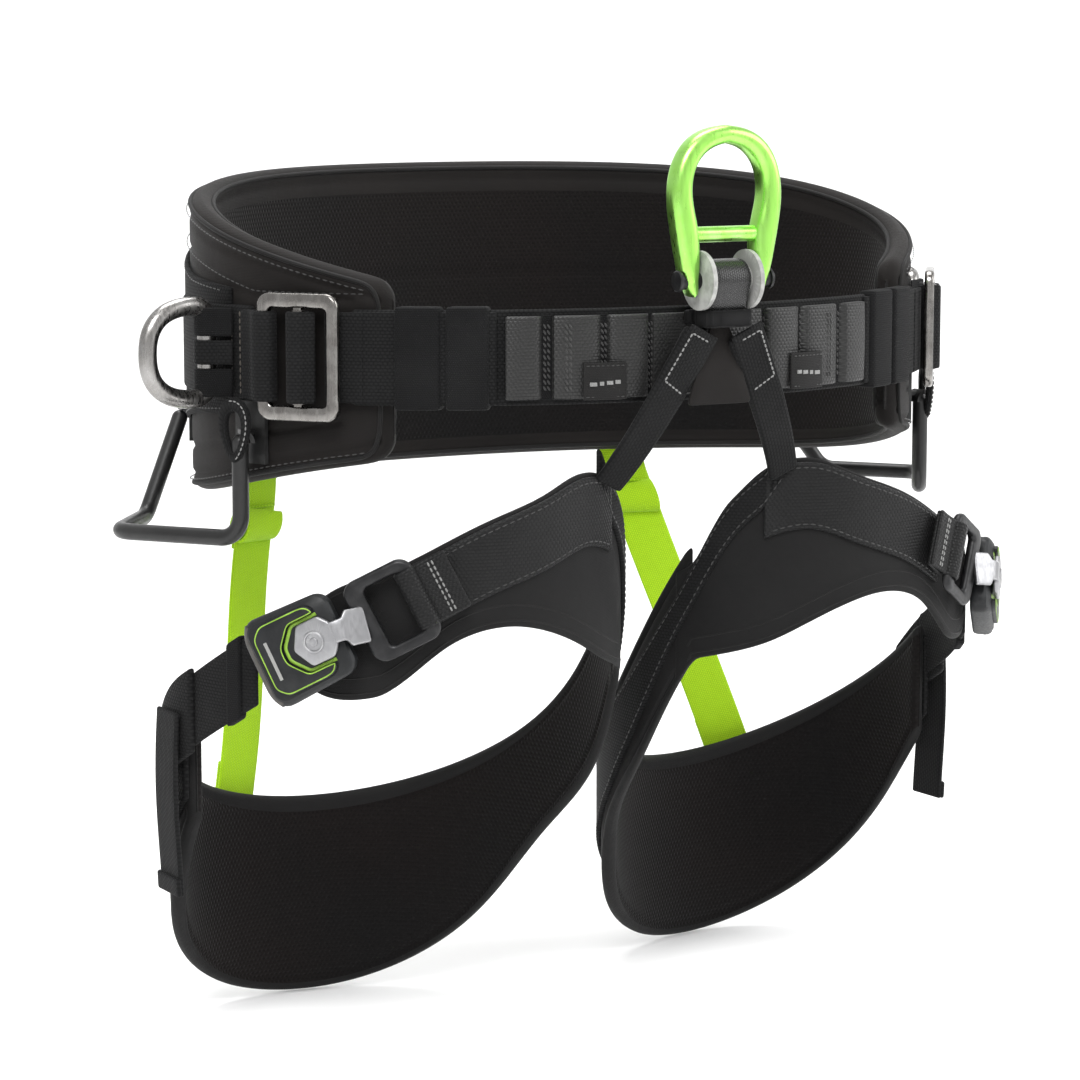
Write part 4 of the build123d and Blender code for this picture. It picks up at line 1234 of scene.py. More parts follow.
def hip_ring(side, name):
    """Attachment ring: a round-nosed D of slightly flattened bar, in its sewn sleeves."""
    plane = belt_plane(hip_ring_angle, belt_outer)
    pivot = 8.6 * MM
    swing = np.radians(hip_ring_rest_left if side > 0 else 0.0)
    away = np.cos(swing) * plane[3] + np.sin(swing) * plane[1]
    base = plane[0] + pivot * plane[3]
    bow = np.radians(np.linspace(-90, 90, 70))
    nose = np.stack(
        [
            33.5 * MM * np.abs(np.cos(bow)) ** 0.62,
            22.5 * MM * np.sign(np.sin(bow)) * np.abs(np.sin(bow)) ** 0.85
        ],
        1
    )
    spine = np.stack([np.zeros(30), np.linspace(22.5, -22.5, 30) * MM], 1)[1:-1]
    loop = np.concatenate([nose, spine])
    for _ in range(10):
        loop = (np.roll(loop, 1, 0) + 2 * loop + np.roll(loop, -1, 0)) / 4
    loop = even_steps(np.concatenate([loop, loop[:1]]), 1.2 * MM)[:-1]
    line = base + loop[:, :1] * away + loop[:, 1:] * plane[2]
    ring = Shape().grid(
        *rod(line, 4.5 * MM, 24, ring=True, up=np.cross(away, plane[2]), squash=0.92), ring=True
    )
    thing = ring.make(f"{name}_hip_ring_bow", f"{name}_hip_ring_body", ALLOY, side, smooth=0)
    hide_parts(f"{name}_hip_ring")
    turn = np.radians(np.linspace(-180, 180, 40))
    r = 6.0 * MM
    loop = np.stack([np.concatenate([[-12 * MM], r * np.sin(turn / 2), [12 * MM]]) * 0.98,
                     np.concatenate([[-pivot + 1.6 * MM], r * np.cos(turn / 2), [-pivot + 1.6 * MM]])], 1)
    line = plane[0] + loop[:, :1] * plane[1] + (loop[:, 1:] + pivot) * plane[3]
    line = smooth_line(line, 60, 2.5 * MM)
    wrap = Shape().grid(*strap(line, plane[2], 11.6 * MM, 1.9 * MM, step=1.2 * MM))
    thing = wrap.make(f"{name}_hip_ring_middle_strap", BELT, BLACK_WEBBING, side)
    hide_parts(f"{name}_hip_ring_strap")
    sleeves = Shape()
    for middle in (14.5 * MM, -14.5 * MM):
        sleeves.grid(*strap(line + middle * plane[2], plane[2], 13.5 * MM, 2.0 * MM, step=1.2 * MM))
    sleeves.make(f"{name}_hip_ring_sleeves", BELT, BLACK_ELASTIC, side)


def refinish(node, material):
    """Give a frame node a new material."""
    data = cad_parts[node].data
    data.materials.clear()
    data.materials.append(material)


def gear_loop(name):
    """Moulded gear loop and its two anchors, kept as made in the frame with a new finish."""
    for node in ("gear_loop", "gear_anchor_front", "gear_anchor_back"):
        refinish(f"{name}_{node}", GEAR_TUBE)


# ------------------------------------------------------------------ ventral ring

def ventral_ring():
    """Main ring and cross bar in green anodising, black axle, grey thimble and its webbing loop."""
    refinish("ventral_cross_bar", GREEN_METAL)
    refinish("ventral_axle", BLACK_ALLOY)
    refinish("ventral_thimble", THIMBLE)
    outer = [
        (18.6, 26.8), (22.4, 31), (25.2, 42), (27.9, 56), (30.2, 70), (30.3, 80), (27.4, 92), (20.2, 101.6),
        (10.2, 106.4), (0, 107.4)
    ]
    inner = [
        (16.4, 28.0), (15.3, 33), (15.0, 42), (14.9, 51), (15.9, 60), (18.6, 68), (20.3, 76), (19.2, 86),
        (14.2, 94.2), (7.4, 98.2), (0, 99)
    ]
    halves = [smooth_line(np.array(line) * MM, 70, 5 * MM) for line in (outer, inner)]
    outside, inside = (np.concatenate([half, half[-2::-1] * np.array([-1, 1])]) for half in halves)
    profile = slab_profile(4, 4)
    gap = np.linalg.norm(outside - inside, axis=1)
    along = distances((outside + inside) / 2)
    depth = 12 * MM - 2.4 * MM * np.exp(-np.minimum(along, along[-1] - along) / (9 * MM))
    shrink = end_shrink(along, along[-1], 2 * MM)
    t, s = slab_rows(profile, depth, gap, 3.6 * MM, shrink)
    t = t * (1 - 0.10 * (s / (gap[:, None] / 2)) ** 2)
    way = unit(outside - inside)
    middle = (outside + inside) / 2
    flat = middle[:, None] + s[..., None] * way[:, None]
    points = np.stack([flat[..., 0], ring_y - t, flat[..., 1]], -1)
    cloth = np.zeros((points.shape[0], points.shape[1] + 1, 2))
    ring = Shape().grid(points, cloth).make("ventral_ring_bow", "ventral_ring_body", GREEN_METAL, smooth=0)
    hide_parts("ventral_ring")
    over = np.radians(np.linspace(-8, 188, 50))
    top = np.stack([8.5 * MM * np.cos(over), axle_z + 8.5 * MM * np.sin(over)], 1)
    foot = np.array([[2.9, 20], [2.7, 17.5]]) * MM
    path = np.concatenate([foot[::-1], top, foot * np.array([-1, 1])])
    line = np.stack([0 * path[:, 0], ring_y + path[:, 0], path[:, 1]], 1)
    loop = Shape().grid(
        *strap(line, np.array([1.0, 0, 0]), 20 * MM, 2.9 * MM, step=1.0 * MM, flat_steps=10, bow=0.25 * MM)
    )
    thing = loop.make("ventral_loop_strap", BELT, LOOP_WEBBING)
    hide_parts("ventral_webbing_loop")
    plane = plane_of((0, ring_y, 0), (1, 0, 0), (0, 0, 1))
    outside = round_outline(12.4 * MM, 7.2 * MM, 2.5 * MM)
    inside = round_outline(10.4 * MM, 5.2 * MM, 1.5 * MM)
    box = Shape().grid(*frame_bar(outside, inside, plane, 13.0 * MM, 21.2 * MM, 0.7 * MM), ring=True)
    tie = np.array([[0, ring_y + 6 * MM, 17.5 * MM], [0, -138 * MM, 17.2 * MM]])
    box.grid(*strap(tie, np.array([1.0, 0, 0]), 30 * MM, 7 * MM, corner=1.5 * MM))
    thing = box.make("ventral_loop_keeper", BELT, BLACK_ELASTIC)
    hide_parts("ventral_loop_band")


# ------------------------------------------------------------------ leg loops

leg_pad_edges = edges_of("left_leg_pad_cover", leg_angle, 330)
leg_wing_edges = edges_of("left_leg_wing", leg_angle, 540)


def leg_pad(side, name):
    """Leg pad: foam with a shell outside and mesh inside, thinner towards the inner thigh, with sewn
    channels that follow its edges."""
    flat_steps = 24
    taper = lambda a: np.interp(a, [leg_pad_edges.first + 150, leg_pad_edges.last], [1.0, 0.45])
    shape = Shape()
    points, cloth = band(
        leg_place, leg_pad_edges.first, leg_pad_edges.last, leg_pad_edges, 0.5 * MM, leg_stack - 0.5 * MM,
        step=5 * MM, corner=4 * MM, flat_steps=flat_steps, taper=taper,
    )
    shape.grid(points, cloth, finish=face_columns(flat_steps, 3, 0, 0, 1, 0.06))
    pad = shape.make(f"{name}_leg_pad_soft", None, [LEG_SHELL, LINING], side, smooth=0)
    puff(pad, 1.2 * MM)
    low_at = lambda a: leg_pad_edges(a)[0]
    high_at = lambda a: leg_pad_edges(a)[1]
    lines = [lambda a: high_at(a) - 7 * MM, lambda a: low_at(a) + 7 * MM]
    seams = [(line, leg_pad_edges.first + 2, leg_pad_edges.last - 1, 1.3 * MM, 1.7 * MM) for line in lines]
    press_seams(pad, side, leg_angle, leg_place, leg_stack / 2, seams)
    press_seams(pad, side, leg_angle, leg_place, leg_stack / 2, seams, outer=False)
    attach(pad, f"{name}_leg_loop_body")
    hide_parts(f"{name}_leg_pad", f"{name}_leg_pad_cover")


leg_rear_edges = edges_of("left_leg_webbing_rear", leg_angle, 330)


def rear_edges(angle):
    """Edges of the strap behind the leg: full width at the back, less than half of it past 208
    degrees, and rising 2.9 mm a degree past its own end to meet the front strap."""
    low, high = leg_rear_edges(angle)
    middle = (low + high) / 2 + 2.9 * MM * np.maximum(np.asarray(angle) - leg_rear_edges.last, 0)
    half = (high - low) / 2 * np.interp(angle, [536, 568], [1.0, 0.46])
    return middle - half, middle + half


def wing_edges(angle):
    """Lower and upper edge of the front wing: the pad's edges before it begins, its own along it, and
    past 661 degrees a blunt tip whose half height falls as the root of 1 - share to the power 2.6."""
    low_pad, high_pad = leg_pad_edges(angle)
    low_own, high_own = leg_wing_edges(angle)
    before = angle <= leg_wing_edges.first
    strap_top = rear_edges(angle)[1] + 2 * MM
    high_own = np.where(np.asarray(angle) < 592, np.minimum(high_own, strap_top), high_own)
    high_pad = np.minimum(high_pad, strap_top + np.interp(angle, [560, 571], [30, 3]) * MM)
    share = np.clip((angle - 661) / 26, 0, 1)
    low_tip, high_tip = leg_wing_edges(661.0)
    half = (high_tip - low_tip) / 2 * np.sqrt(np.maximum(1 - share ** 2.6, 0.003))
    middle = (high_tip + low_tip) / 2 - 9 * MM * share
    low = np.where(before, low_pad, np.where(share > 0, middle - half, low_own))
    high = np.where(before, high_pad, np.where(share > 0, middle + half, high_own))
    return low, high


def leg_wing(side, name):
    """Thin front wing of the leg loop with its blunt tip behind the buckle, bound along its edges."""
    body = f"{name}_leg_loop_body"
    first, last = leg_pad_edges.last - 5, 687
    shape = Shape()
    points, cloth = band(
        leg_place, first, last, wing_edges, leg_stack - 3.6 * MM, leg_stack - 0.2 * MM,
        step=4 * MM, corner=1.6 * MM, flat_steps=20,
    )
    shape.grid(points, cloth, finish=face_columns(20, 3, 0, 0, 1, 0.06))
    wing = shape.make(f"{name}_leg_wing_soft", None, [LEG_SHELL, LINING], side, smooth=0)
    puff(wing, 0.7 * MM)
    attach(wing, body)
    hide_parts(f"{name}_leg_wing")
    angle = np.linspace(first + 4, last - 2.5, 260)
    low, high = wing_edges(angle)
    seam = Shape()
    for height, way in ((high, -3.2), (low, 3.2), (low, 10.5)):
        line = leg_place(angle, leg_stack - 0.5 * MM, height + way * MM)
        seam.grid(*rod(even_steps(line, 2.5 * MM), 0.55 * MM, 6))
    seam.make(f"{name}_leg_wing_piping", body, BINDING, side, smooth=0)


def leg_straps(side, name):
    """Webbing sewn along the outside of the leg loop, behind and in front."""
    body = f"{name}_leg_loop_body"
    for node, start, material in (
        ("leg_webbing_rear", 330, BLACK_WEBBING),
        ("leg_webbing_front", 180, LEG_WEBBING),
    ):
        edges = edges_of(f"left_{node}", leg_angle, start)
        first, last = edges.first, edges.last
        if node == "leg_webbing_rear":
            last, edges = last + 6.5, rear_edges
        shape = Shape().grid(*band(leg_place, first, last, edges, leg_stack - 1 * MM, leg_outer, step=3 * MM))
        thing = shape.make(f"{name}_{node}_strap", body, material, side)
        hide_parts(f"{name}_{node}")
        rows = Shape()
        angle = np.linspace(first + 2, last - 2, 240)
        low, high = edges(angle)
        for height in (high - 2.6 * MM, low + 2.6 * MM):
            line = leg_place(angle, leg_outer + 0.05 * MM, height)
            out = unit((line - np.array([*leg_centre, 0])) * np.array([1, 1, 0]))
            stitch_row(rows, line, out, long=2.6 * MM, gap=1.2 * MM, thick=0.6 * MM)
        rows.make(f"{name}_{node}_stitching", body, DARK_THREAD, side)


def joined_outline(corners, count, radius):
    """Even points along straight runs between corners, given in mm and rounded by averaging."""
    return smooth_line(np.array(corners, float) * MM, count, radius)


def leg_buckle(side, name):
    """Quick-release leg buckle: rounded housing with a raised face round a notch, hexagonal key with a
    round stud and a T-shaped neck, and the ladder frame that carries the folded leg strap."""
    body, tongue = f"{name}_leg_loop_body", f"{name}_leg_tongue_body"
    plane = leg_plane(leg_housing_angle, leg_outer, leg_housing_z, leg_buckle_pitch)
    levels = (
        (2.2, 1.6, 2.6, 1.6, 6.0),
        (3.0, 0.5, 1.2, 0.5, 7.0),
        (5.0, 0.0, 0.4, 0.0, 7.5),
        (9.2, 0.0, 0.0, 0.0, 7.5),
        (10.6, 0.4, 0.8, 0.5, 7.0),
        (11.8, 1.4, 3.2, 1.5, 6.5),
        (13.0, 3.0, 6.4, 2.8, 6.0),
    )
    rows = []
    for rise, strap_in, key_in, side_in, radius in levels:
        outline = round_outline((46 - strap_in - key_in) * MM / 2, (22 - side_in) * MM, radius * MM, 64)
        outline[:, 0] += (key_in - strap_in) * MM / 2
        outline[:, 1] *= 1 - 0.10 * np.clip((23 * MM - outline[:, 0]) / (46 * MM), 0, 1) ** 2
        rows.append(on_plane(plane, outline, rise * MM))
    points = np.stack(rows)
    cloth = np.zeros((points.shape[0], points.shape[1] + 1, 2))
    shell = Shape().grid(points, cloth)
    outer = [
        (-15.6, 14.2), (-14.2, 16.6), (-10, 17.4), (12.5, 17.6), (17.6, 13), (17.6, -13), (12.5, -17.6),
        (-10, -17.4), (-14.2, -16.6), (-15.6, -14.2)
    ]
    inner = [
        (-15.0, 12.6), (-14.4, 12.5), (-13.8, 12.4), (-1.5, 12.4), (6.6, 3.6), (6.6, -3.6), (-1.5, -12.4),
        (-13.8, -12.4), (-14.4, -12.5), (-15.0, -12.6)
    ]
    outside, inside = joined_outline(outer, 90, 1.2 * MM), joined_outline(inner, 90, 1.0 * MM)
    top = 15.2 * MM
    shell.grid(*frame_bar(outside, inside, plane, 12.0 * MM, top, 0.8 * MM))
    housing = shell.make(f"{name}_buckle_housing", body, HOUSING, side, smooth=32)
    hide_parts(f"{name}_leg_buckle_housing")
    lines = Shape()
    edge = np.concatenate([outside * 0.965, inside[::-1] * 1.03])
    lines.grid(*rod(on_plane(plane, edge, top), 0.30 * MM, 8, ring=True, up=plane[3], squash=0.6), ring=True)
    notch = joined_outline(
        [(-16.4, 11.4), (-2.2, 11.4), (5.2, 3.2), (5.2, -3.2), (-2.2, -11.4), (-16.4, -11.4)], 70, 1.0 * MM
    )
    lines.grid(*rod(on_plane(plane, notch, 13.0 * MM), 0.85 * MM, 8, up=plane[3], squash=0.5))
    lines.make(f"{name}_buckle_outline", body, GREEN_PAINT, side)
    end = joined_outline([(18.0, 19.0), (21.2, 15.0), (21.2, -15.0), (18.0, -19.0)], 60, 2.5 * MM)
    rim = Shape().grid(*rod(on_plane(plane, end, 8.2 * MM), 3.3 * MM, 14, up=plane[3], squash=1.25))
    rim.make(f"{name}_buckle_end_rim", body, RIM, side)
    plain = on_plane(plane, np.stack([np.full(20, 12.4), np.linspace(-9.5, 9.5, 20)], 1) * MM, top)
    mark = Shape().grid(*strap(plain, plane[1], 1.7 * MM, 0.5 * MM, corner=0.2 * MM))
    mark.make(f"{name}_buckle_mark", body, THIMBLE, side)
    step = leg_plane(leg_ladder_angle, leg_outer, leg_ladder_z, leg_buckle_pitch)
    hexagon = joined_outline(
        [
            (-21.6, 5.4), (-17.4, 10.2), (-5.6, 10.2), (0.4, 0.0), (-5.6, -10.2), (-17.4, -10.2),
            (-21.6, -5.4), (-21.6, 5.4)
        ], 96, 0.9 * MM
    )[:-1]
    key = Shape().grid(*plate(hexagon, plane, 13.8 * MM, 16.6 * MM, 0.9 * MM))
    meet = step[0] + 13.5 * MM * step[1] + 7.6 * MM * step[3]
    start = plane[0] - 19.0 * MM * plane[1] + 15.3 * MM * plane[3]
    bend = plane[0] - 24.0 * MM * plane[1] + 14.9 * MM * plane[3]
    neck = smooth_line(np.array([start, bend, meet]), 40, 2.5 * MM)
    flare = lambda share: np.interp(share, [0, 0.2, 0.38, 0.5, 1.0], [0.62, 0.60, 0.62, 1.0, 1.0])
    key.grid(*strap(neck, plane[2], 17 * MM, 2.6 * MM, step=0.8 * MM, corner=0.9 * MM, narrow=flare))
    thing = key.make(f"{name}_buckle_key", tongue, KEY_METAL, side, smooth=32)
    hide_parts(f"{name}_leg_buckle_key")
    turn = np.linspace(0, 2 * np.pi, 36, endpoint=False)
    circle = np.stack([np.cos(turn), np.sin(turn)], 1)
    centre = np.array([-11.0, 0]) * MM
    stud = Shape().grid(
        *rod(on_plane(plane, centre + circle * 4.6 * MM, 16.6 * MM), 0.7 * MM, 8, ring=True, up=plane[3]),
        ring=True
    )
    stud.grid(*plate(centre + circle * 2.0 * MM, plane, 16.2 * MM, 17.1 * MM, 0.4 * MM))
    stud.make(f"{name}_buckle_key_stud", tongue, KEY_METAL, side)
    outside = round_outline(17.5 * MM, 20.5 * MM, 7.0 * MM, 64, (0.5 * MM, 0))
    inside = round_outline(9.0 * MM, 15.0 * MM, 3.0 * MM, 64, (-0.5 * MM, 0))
    frame_body = Shape().grid(*frame_bar(outside, inside, step, 2.6 * MM, 7.4 * MM, 2.0 * MM), ring=True)
    thing = frame_body.make(f"{name}_buckle_ladder", tongue, BLACK_ALLOY, side)
    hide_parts(f"{name}_leg_buckle_frame")
    roll = Shape()
    turn = np.radians(np.linspace(-70, 250, 44))
    loop = np.stack([-12.4 * MM + 4.6 * MM * np.cos(turn), 5.0 * MM + 4.2 * MM * np.sin(turn)], 1)
    first = np.array([[-32.0, 1.2], [-24.0, 1.2], [-18.0, 1.2]]) * MM
    last = np.array([[-19.0, 5.4], [-24.0, 3.8], [-33.0, 3.0]]) * MM
    path = smooth_line(np.concatenate([first, loop[-4:3:-1], last]), 110, 1.2 * MM)
    line = step[0] + path[:, :1] * step[1] + path[:, 1:] * step[3]
    roll.grid(*strap(line, step[2], 29 * MM, 2.0 * MM, step=1.2 * MM, flat_steps=8))
    roll.make(f"{name}_ladder_webbing", tongue, LEG_WEBBING, side)
    rows = Shape()
    for x, rise in ((-24.0, 5.0), (-26.0, 4.8)):
        line = on_plane(step, np.stack([np.full(30, x), np.linspace(-13, 13, 30)], 1) * MM, rise * MM)
        stitch_row(rows, line, step[3], long=2.2 * MM, gap=0.5 * MM, thick=0.9 * MM)
    rows.make(f"{name}_ladder_stitching", tongue, PALE_THREAD, side)


def outer_strap(side, name):
    """Adjusting strap from the housing through its elastic keeper, folded over the pad's end, with the
    spare end hanging down."""
    body = f"{name}_leg_loop_body"
    edges = edges_of("left_leg_outer_strap", leg_angle, 300)
    known = np.linspace(edges.first + 0.5, 361, 30)
    low, high = edges(known)
    low_line, high_line = np.polyfit(known, low, 1), np.polyfit(known, high, 1)
    along = lambda a: (np.polyval(low_line, a), np.polyval(high_line, a))
    shape = Shape().grid(*band(leg_place, edges.first, 372, along, leg_stack, leg_outer, step=2.5 * MM))
    over = lambda a: (
        np.polyval(low_line, a) - 4 * MM,
        np.polyval(high_line, a) + 2 * MM - 13 * MM * np.clip((a - 366) / 17, 0, 1) ** 2,
    )
    swell = lambda a, s: 1.6 * MM * np.sin(np.clip((a - 361.5) / 21, 0, 1) * np.pi) ** 0.6 * (1 - 0.3 * s * s)
    shape.grid(
        *band(
            leg_place, 361.5, 382.5, over, leg_outer - 0.2 * MM, leg_outer + 2.6 * MM, step=2 * MM, push=swell
        )
    )
    thing = shape.make(f"{name}_outer_strap", body, BLACK_WEBBING, side)
    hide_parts(f"{name}_leg_outer_strap")
    plane = leg_plane(10.5, leg_outer + 5 * MM, -166 * MM, 0)
    drop = np.linspace(0, 1, 40)
    sway = 1.4 * MM * np.sin(drop * np.pi * 1.3)
    line = plane[0] + (-6 * MM - drop[:, None] * 90 * MM) * np.array([0, 0, 1]) + sway[:, None] * plane[3]
    tail = Shape().grid(*strap(line, plane[1], 24 * MM, 2.4 * MM, step=3 * MM))
    hem = line[-5:] + 1.6 * MM * plane[3]
    tail.grid(*strap(hem, plane[1], 25 * MM, 2.6 * MM))
    tail.make(f"{name}_strap_tail", body, BLACK_WEBBING, side)
    keeper_edges = edges_of("left_leg_keeper", leg_angle, 300)
    keeper = Shape().grid(*band(
        leg_place, keeper_edges.first, keeper_edges.last, keeper_edges, leg_stack - 1.2 * MM, leg_outer + 1.5 * MM,
        step=1.5 * MM, corner=1.3 * MM,
    ))
    thing = keeper.make(f"{name}_strap_keeper", body, BLACK_ELASTIC, side)
    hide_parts(f"{name}_leg_keeper")


def front_strap(side, name):
    """Strap from the ventral loop down to the inner side of the leg loop, doubled and stitched near its
    top and narrowed where it joins the leg loop."""
    body = f"{name}_leg_loop_body"
    top, foot = np.array([12.2, -150, 10]) * MM, np.array([50, -132, -62]) * MM
    way = unit(foot - top)
    share = np.linspace(0, 1, 60)
    dip = 4.5 * MM * share[:, None] ** 5 - 1.6 * MM * np.sin(share[:, None] * np.pi)
    line = top + share[:, None] * (foot - top) + dip * np.array([0, 1, 0])
    across = unit(np.array([1.0, 0, 0]) - way * way[0])
    slim = lambda share: np.interp(share, [0, 0.5, 1], [1.0, 0.92, 0.8])
    shape = Shape().grid(
        *strap(line, across, 20 * MM, 3.6 * MM, step=2.5 * MM, flat_steps=8, bow=0.3 * MM, narrow=slim)
    )
    patch = top + np.linspace(-0.02, 0.34, 20)[:, None] * (foot - top) - 2.2 * MM * np.array([0, 1, 0])
    shape.grid(*strap(patch, across, 17.5 * MM, 1.6 * MM, step=2.5 * MM, flat_steps=6))
    thing = shape.make(f"{name}_front_strap_webbing", body, BLACK_WEBBING, side)
    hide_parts(f"{name}_front_strap")
    out = np.cross(across, way)
    out = out if out[1] < 0 else -out
    rows = Shape()
    edge_side = across if across[0] > 0 else -across
    corners = [(0.02, -4.0), (0.02, 6.8), (0.33, 6.8), (0.35, -5.5)]
    path = np.array([top + a * (foot - top) + b * MM * edge_side + 3.1 * MM * out for a, b in corners])
    for first, last in zip(path[:-1], path[1:]):
        stitch_row(rows, np.stack([first, last]), out, long=2.0 * MM, gap=0.4 * MM, thick=0.9 * MM)
    rows.make(f"{name}_front_strap_stitching", body, PALE_THREAD, side)


def front_panel():
    """Dark cloth panel between the two front straps, sewn to the ventral loop."""
    plane = plane_of((0, -146.4 * MM, 0), (1, 0, 0), (0, -1, 0))
    outline = joined_outline([(-5, 14), (5, 14), (18, -24), (-18, -24), (-5, 14)], 97, 1.5 * MM)[:-1]
    panel = Shape().grid(*plate(outline, plane, 0.0, 1.4 * MM, 0.5 * MM))
    panel.make("front_panel", BELT, SHELL)


def gear_eye(side, name):
    """Webbing eye sewn round the front end of a gear loop, pear shaped, with a pale stitched edge."""
    low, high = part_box("left_gear_anchor_front")
    anchor = np.array([(low.x + high.x) / 2, (low.y + high.y) / 2, 0])
    angle = np.degrees(np.arctan2(anchor[0], anchor[1])) % 360
    plane = belt_plane(angle, pad_thick, -36 * MM)
    turn = np.linspace(0, 2 * np.pi, 64, endpoint=False)
    pear = 1 + 0.32 * np.sin(turn)
    outside = np.stack([9.6 * MM * np.cos(turn) * pear, 15.5 * MM * np.sin(turn)], 1)
    inside = np.stack([4.6 * MM * np.cos(turn) * pear, 9.5 * MM * np.sin(turn) - 0.5 * MM], 1)
    eye = Shape().grid(*frame_bar(outside, inside, plane, 10.2 * MM, 13.4 * MM, 1.2 * MM), ring=True)
    eye.make(f"{name}_gear_eye", BELT, BLACK_WEBBING, side)
    rows = Shape()
    part = on_plane(plane, (outside * 0.8 + inside * 0.2)[14:46], 13.6 * MM)
    stitch_row(rows, part, plane[3], long=1.9 * MM, gap=0.7 * MM, thick=0.7 * MM)
    rows.make(f"{name}_gear_eye_stitching", BELT, PALE_THREAD, side)


def riser(side, name):
    """Green elastic riser from the waist pad to the back of the leg pad, with a stitched lap at each
    end and a small folded loop near its top. Its line has a slight wave on the way down."""
    start = np.array([111.38, 125.45, -86.5]) * MM
    foot = np.array([153.51, 73.80, -250.0]) * MM
    way = unit(foot - start)
    across = np.array([0.94, -0.33, 0])
    share = np.linspace(0, 1, 70)
    out = unit(np.cross(across, way))
    line = start + share[:, None] * (foot - start) + 2.0 * MM * np.sin(share[:, None] * np.pi * 2) * out
    risen = start + np.linspace(16, 1, 8)[:, None] * MM * np.array([0, 0, 1])
    full = smooth_line(np.concatenate([risen, line]), 100, 4 * MM)
    shape = Shape().grid(*strap(full, across, 25 * MM, 1.8 * MM, step=2.5 * MM, flat_steps=8))
    side_out = out if out[1] > 0 else -out
    for first, last in ((0.02, 0.2), (0.84, 1.0)):
        part = np.interp(np.linspace(first, last, 24), share, np.arange(70))
        lap = resample(part, np.arange(70), line) + 1.7 * MM * side_out
        shape.grid(*strap(lap, across, 25 * MM, 1.8 * MM, step=2.5 * MM, flat_steps=8))
    curl = np.radians(np.linspace(-100, 230, 30))
    knot = start + 0.11 * (foot - start)
    ring = knot + 6.5 * MM * np.cos(curl)[:, None] * side_out + 9 * MM * np.sin(curl)[:, None] * way
    shape.grid(*strap(ring, across, 24 * MM, 1.7 * MM, step=2 * MM, flat_steps=8))
    thing = shape.make(f"{name}_riser_elastic", None, GREEN_ELASTIC, side)
    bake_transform(thing)
    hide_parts(f"{name}_riser")
    rows = Shape()
    for at in (0.165, 0.185, 0.86, 0.88):
        centre = start + at * (foot - start) + 2.9 * MM * side_out
        side_way = unit(across - way * (across * way).sum())
        stitch_row(
            rows, np.stack([centre - 11 * MM * side_way, centre + 11 * MM * side_way]), side_out,
            thick=0.8 * MM
        )
    thing = rows.make(f"{name}_riser_stitching", None, GREEN_THREAD, side)
    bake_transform(thing)
    edges = edges_of("left_riser_hook", belt_angle, 0)
    hook = Shape().grid(
        *band(
            belt_place, edges.first, edges.last, edges, pad_thick - 0.5 * MM, pad_thick + 1.6 * MM,
            step=2 * MM
        )
    )
    hook.grid(
        *band(
            belt_place, edges.first + 0.3, edges.last - 0.3, edges, pad_thick + 1.5 * MM,
            pad_thick + 3.2 * MM, step=2 * MM, inset=0.6 * MM
        )
    )
    thing = hook.make(f"{name}_riser_loop", BELT, GREEN_ELASTIC, side)
    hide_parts(f"{name}_riser_hook")


# ------------------------------------------------------------------ everything

hip_pad()
hip_trim()
belt_webbing()
ventral_ring()
front_panel()
for side, name in ((1, "left"), (-1, "right")):
    load_tapes(side, name)
    belt_keepers(side, name)
    label_loop(side, name)
    waist_buckle(side, name)
    hip_ring(side, name)
    gear_loop(name)
    gear_eye(side, name)
    leg_pad(side, name)
    leg_wing(side, name)
    leg_straps(side, name)
    leg_buckle(side, name)
    outer_strap(side, name)
    front_strap(side, name)
    riser(side, name)


# ------------------------------------------------------------------ stage

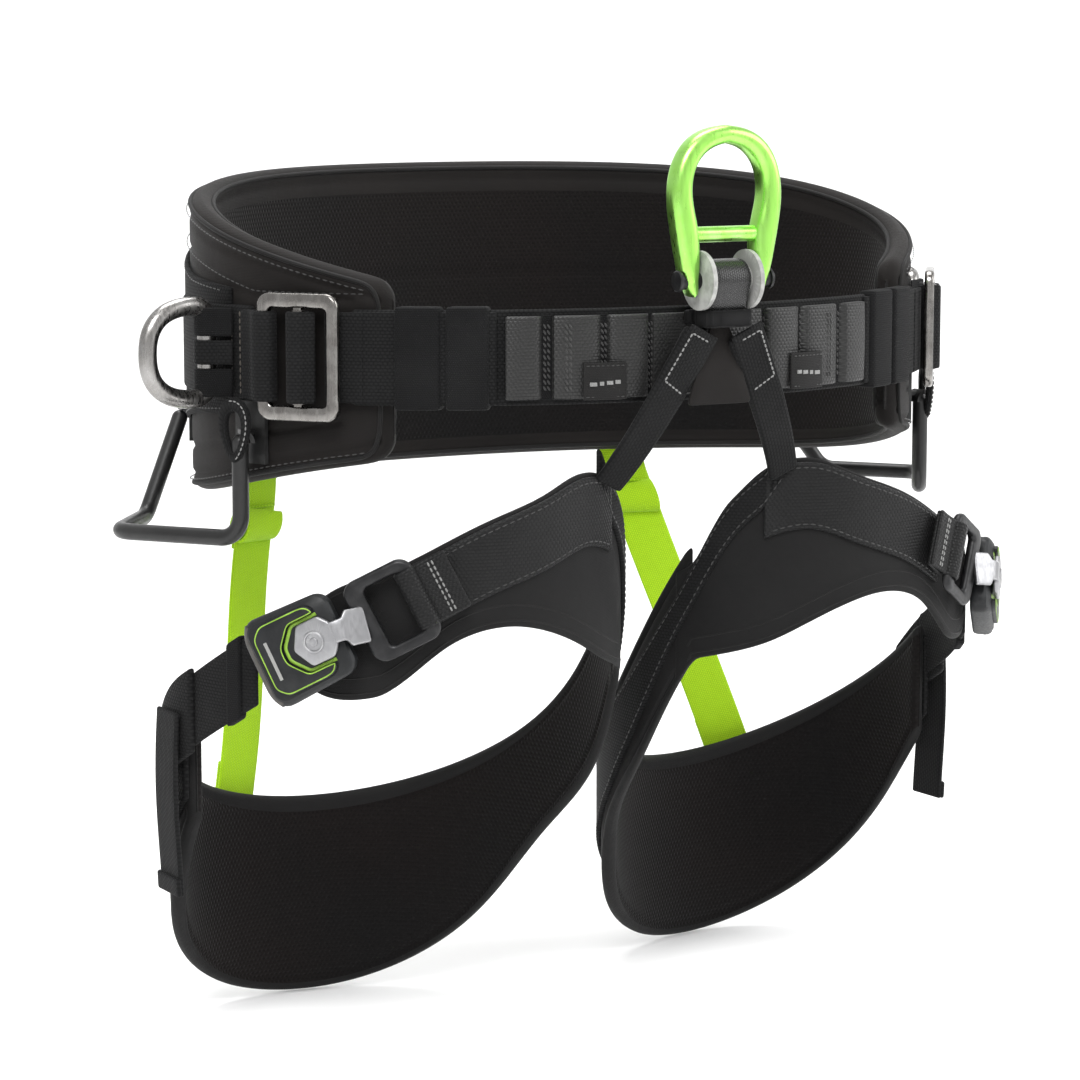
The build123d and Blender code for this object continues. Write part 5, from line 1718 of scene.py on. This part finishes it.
def studio():
    """Pale floor and backdrop in one, and three soft lights."""
    floor_z = cad_low.z - 1 * MM
    run = np.concatenate(
        [np.linspace(-4, 1.6, 12), 1.6 + 1.2 * np.sin(np.linspace(0.1, np.pi / 2, 12)), [2.8]]
    )
    rise = np.concatenate([np.zeros(12), 1.2 * (1 - np.cos(np.linspace(0.1, np.pi / 2, 12))), [5.0]])
    across = np.array([-6.0, 6.0])
    points = np.stack([
        np.repeat(
            across[None], len(run), 0
        ), np.repeat(run[:, None], 2, 1), floor_z + np.repeat(rise[:, None], 2, 1)
    ], -1)
    mesh = bpy.data.meshes.new("floor")
    faces = [(2 * i, 2 * i + 1, 2 * i + 3, 2 * i + 2) for i in range(len(run) - 1)]
    turn = np.radians(-30)
    flat = points.reshape(-1, 3) @ np.array(
        [[np.cos(turn), np.sin(turn), 0], [-np.sin(turn), np.cos(turn), 0], [0, 0, 1]]
    )
    mesh.from_pydata(flat.tolist(), [], faces)
    mesh.shade_smooth()
    floor = bpy.data.objects.new("floor", mesh)
    bpy.context.collection.objects.link(floor)
    material, _, shader = new_material("floor", 0.9)
    shader.inputs["Base Color"].default_value = rgb(0.93, 0.93, 0.93)
    mesh.materials.append(material)
    world = bpy.data.worlds.new("studio")
    bpy.context.scene.world = world
    world.use_nodes = True
    world.node_tree.nodes["Background"].inputs[0].default_value = rgb(1, 1, 1)
    world.node_tree.nodes["Background"].inputs[1].default_value = 0.75
    for label, place, size, power in (
        ("key", (-1.3, -1.7, 1.9), 1.2, 62.0),
        ("fill", (1.9, -1.3, 0.9), 1.6, 34.0),
        ("top", (0.2, 0.5, 2.2), 1.4, 40.0),
    ):
        lamp = bpy.data.lights.new(label, "AREA")
        lamp.size = size
        lamp.energy = power
        thing = bpy.data.objects.new(label, lamp)
        thing.location = place
        aim = Vector((0, 0, -0.1)) - Vector(place)
        thing.rotation_euler = aim.to_track_quat("-Z", "Y").to_euler()
        bpy.context.collection.objects.link(thing)


def front_camera():
    """Camera in front of the wearer's right hip, a little above the belt, with a long lens."""
    azimuth, elevation = np.radians(-30), np.radians(8)
    target = Vector((-13 * MM, 0, -106 * MM))
    back = Vector((
        np.sin(azimuth) * np.cos(elevation), -np.cos(azimuth) * np.cos(elevation), np.sin(elevation)
    ))
    camera = bpy.data.cameras.new("camera")
    camera.lens = 117.5
    camera.sensor_width = 36
    thing = bpy.data.objects.new("camera", camera)
    thing.location = target + back * 1.8
    thing.rotation_euler = (-back).to_track_quat("-Z", "Y").to_euler()
    bpy.context.collection.objects.link(thing)
    bpy.context.scene.camera = thing


studio()
front_camera()
bpy.context.scene.view_settings.view_transform = "Standard"
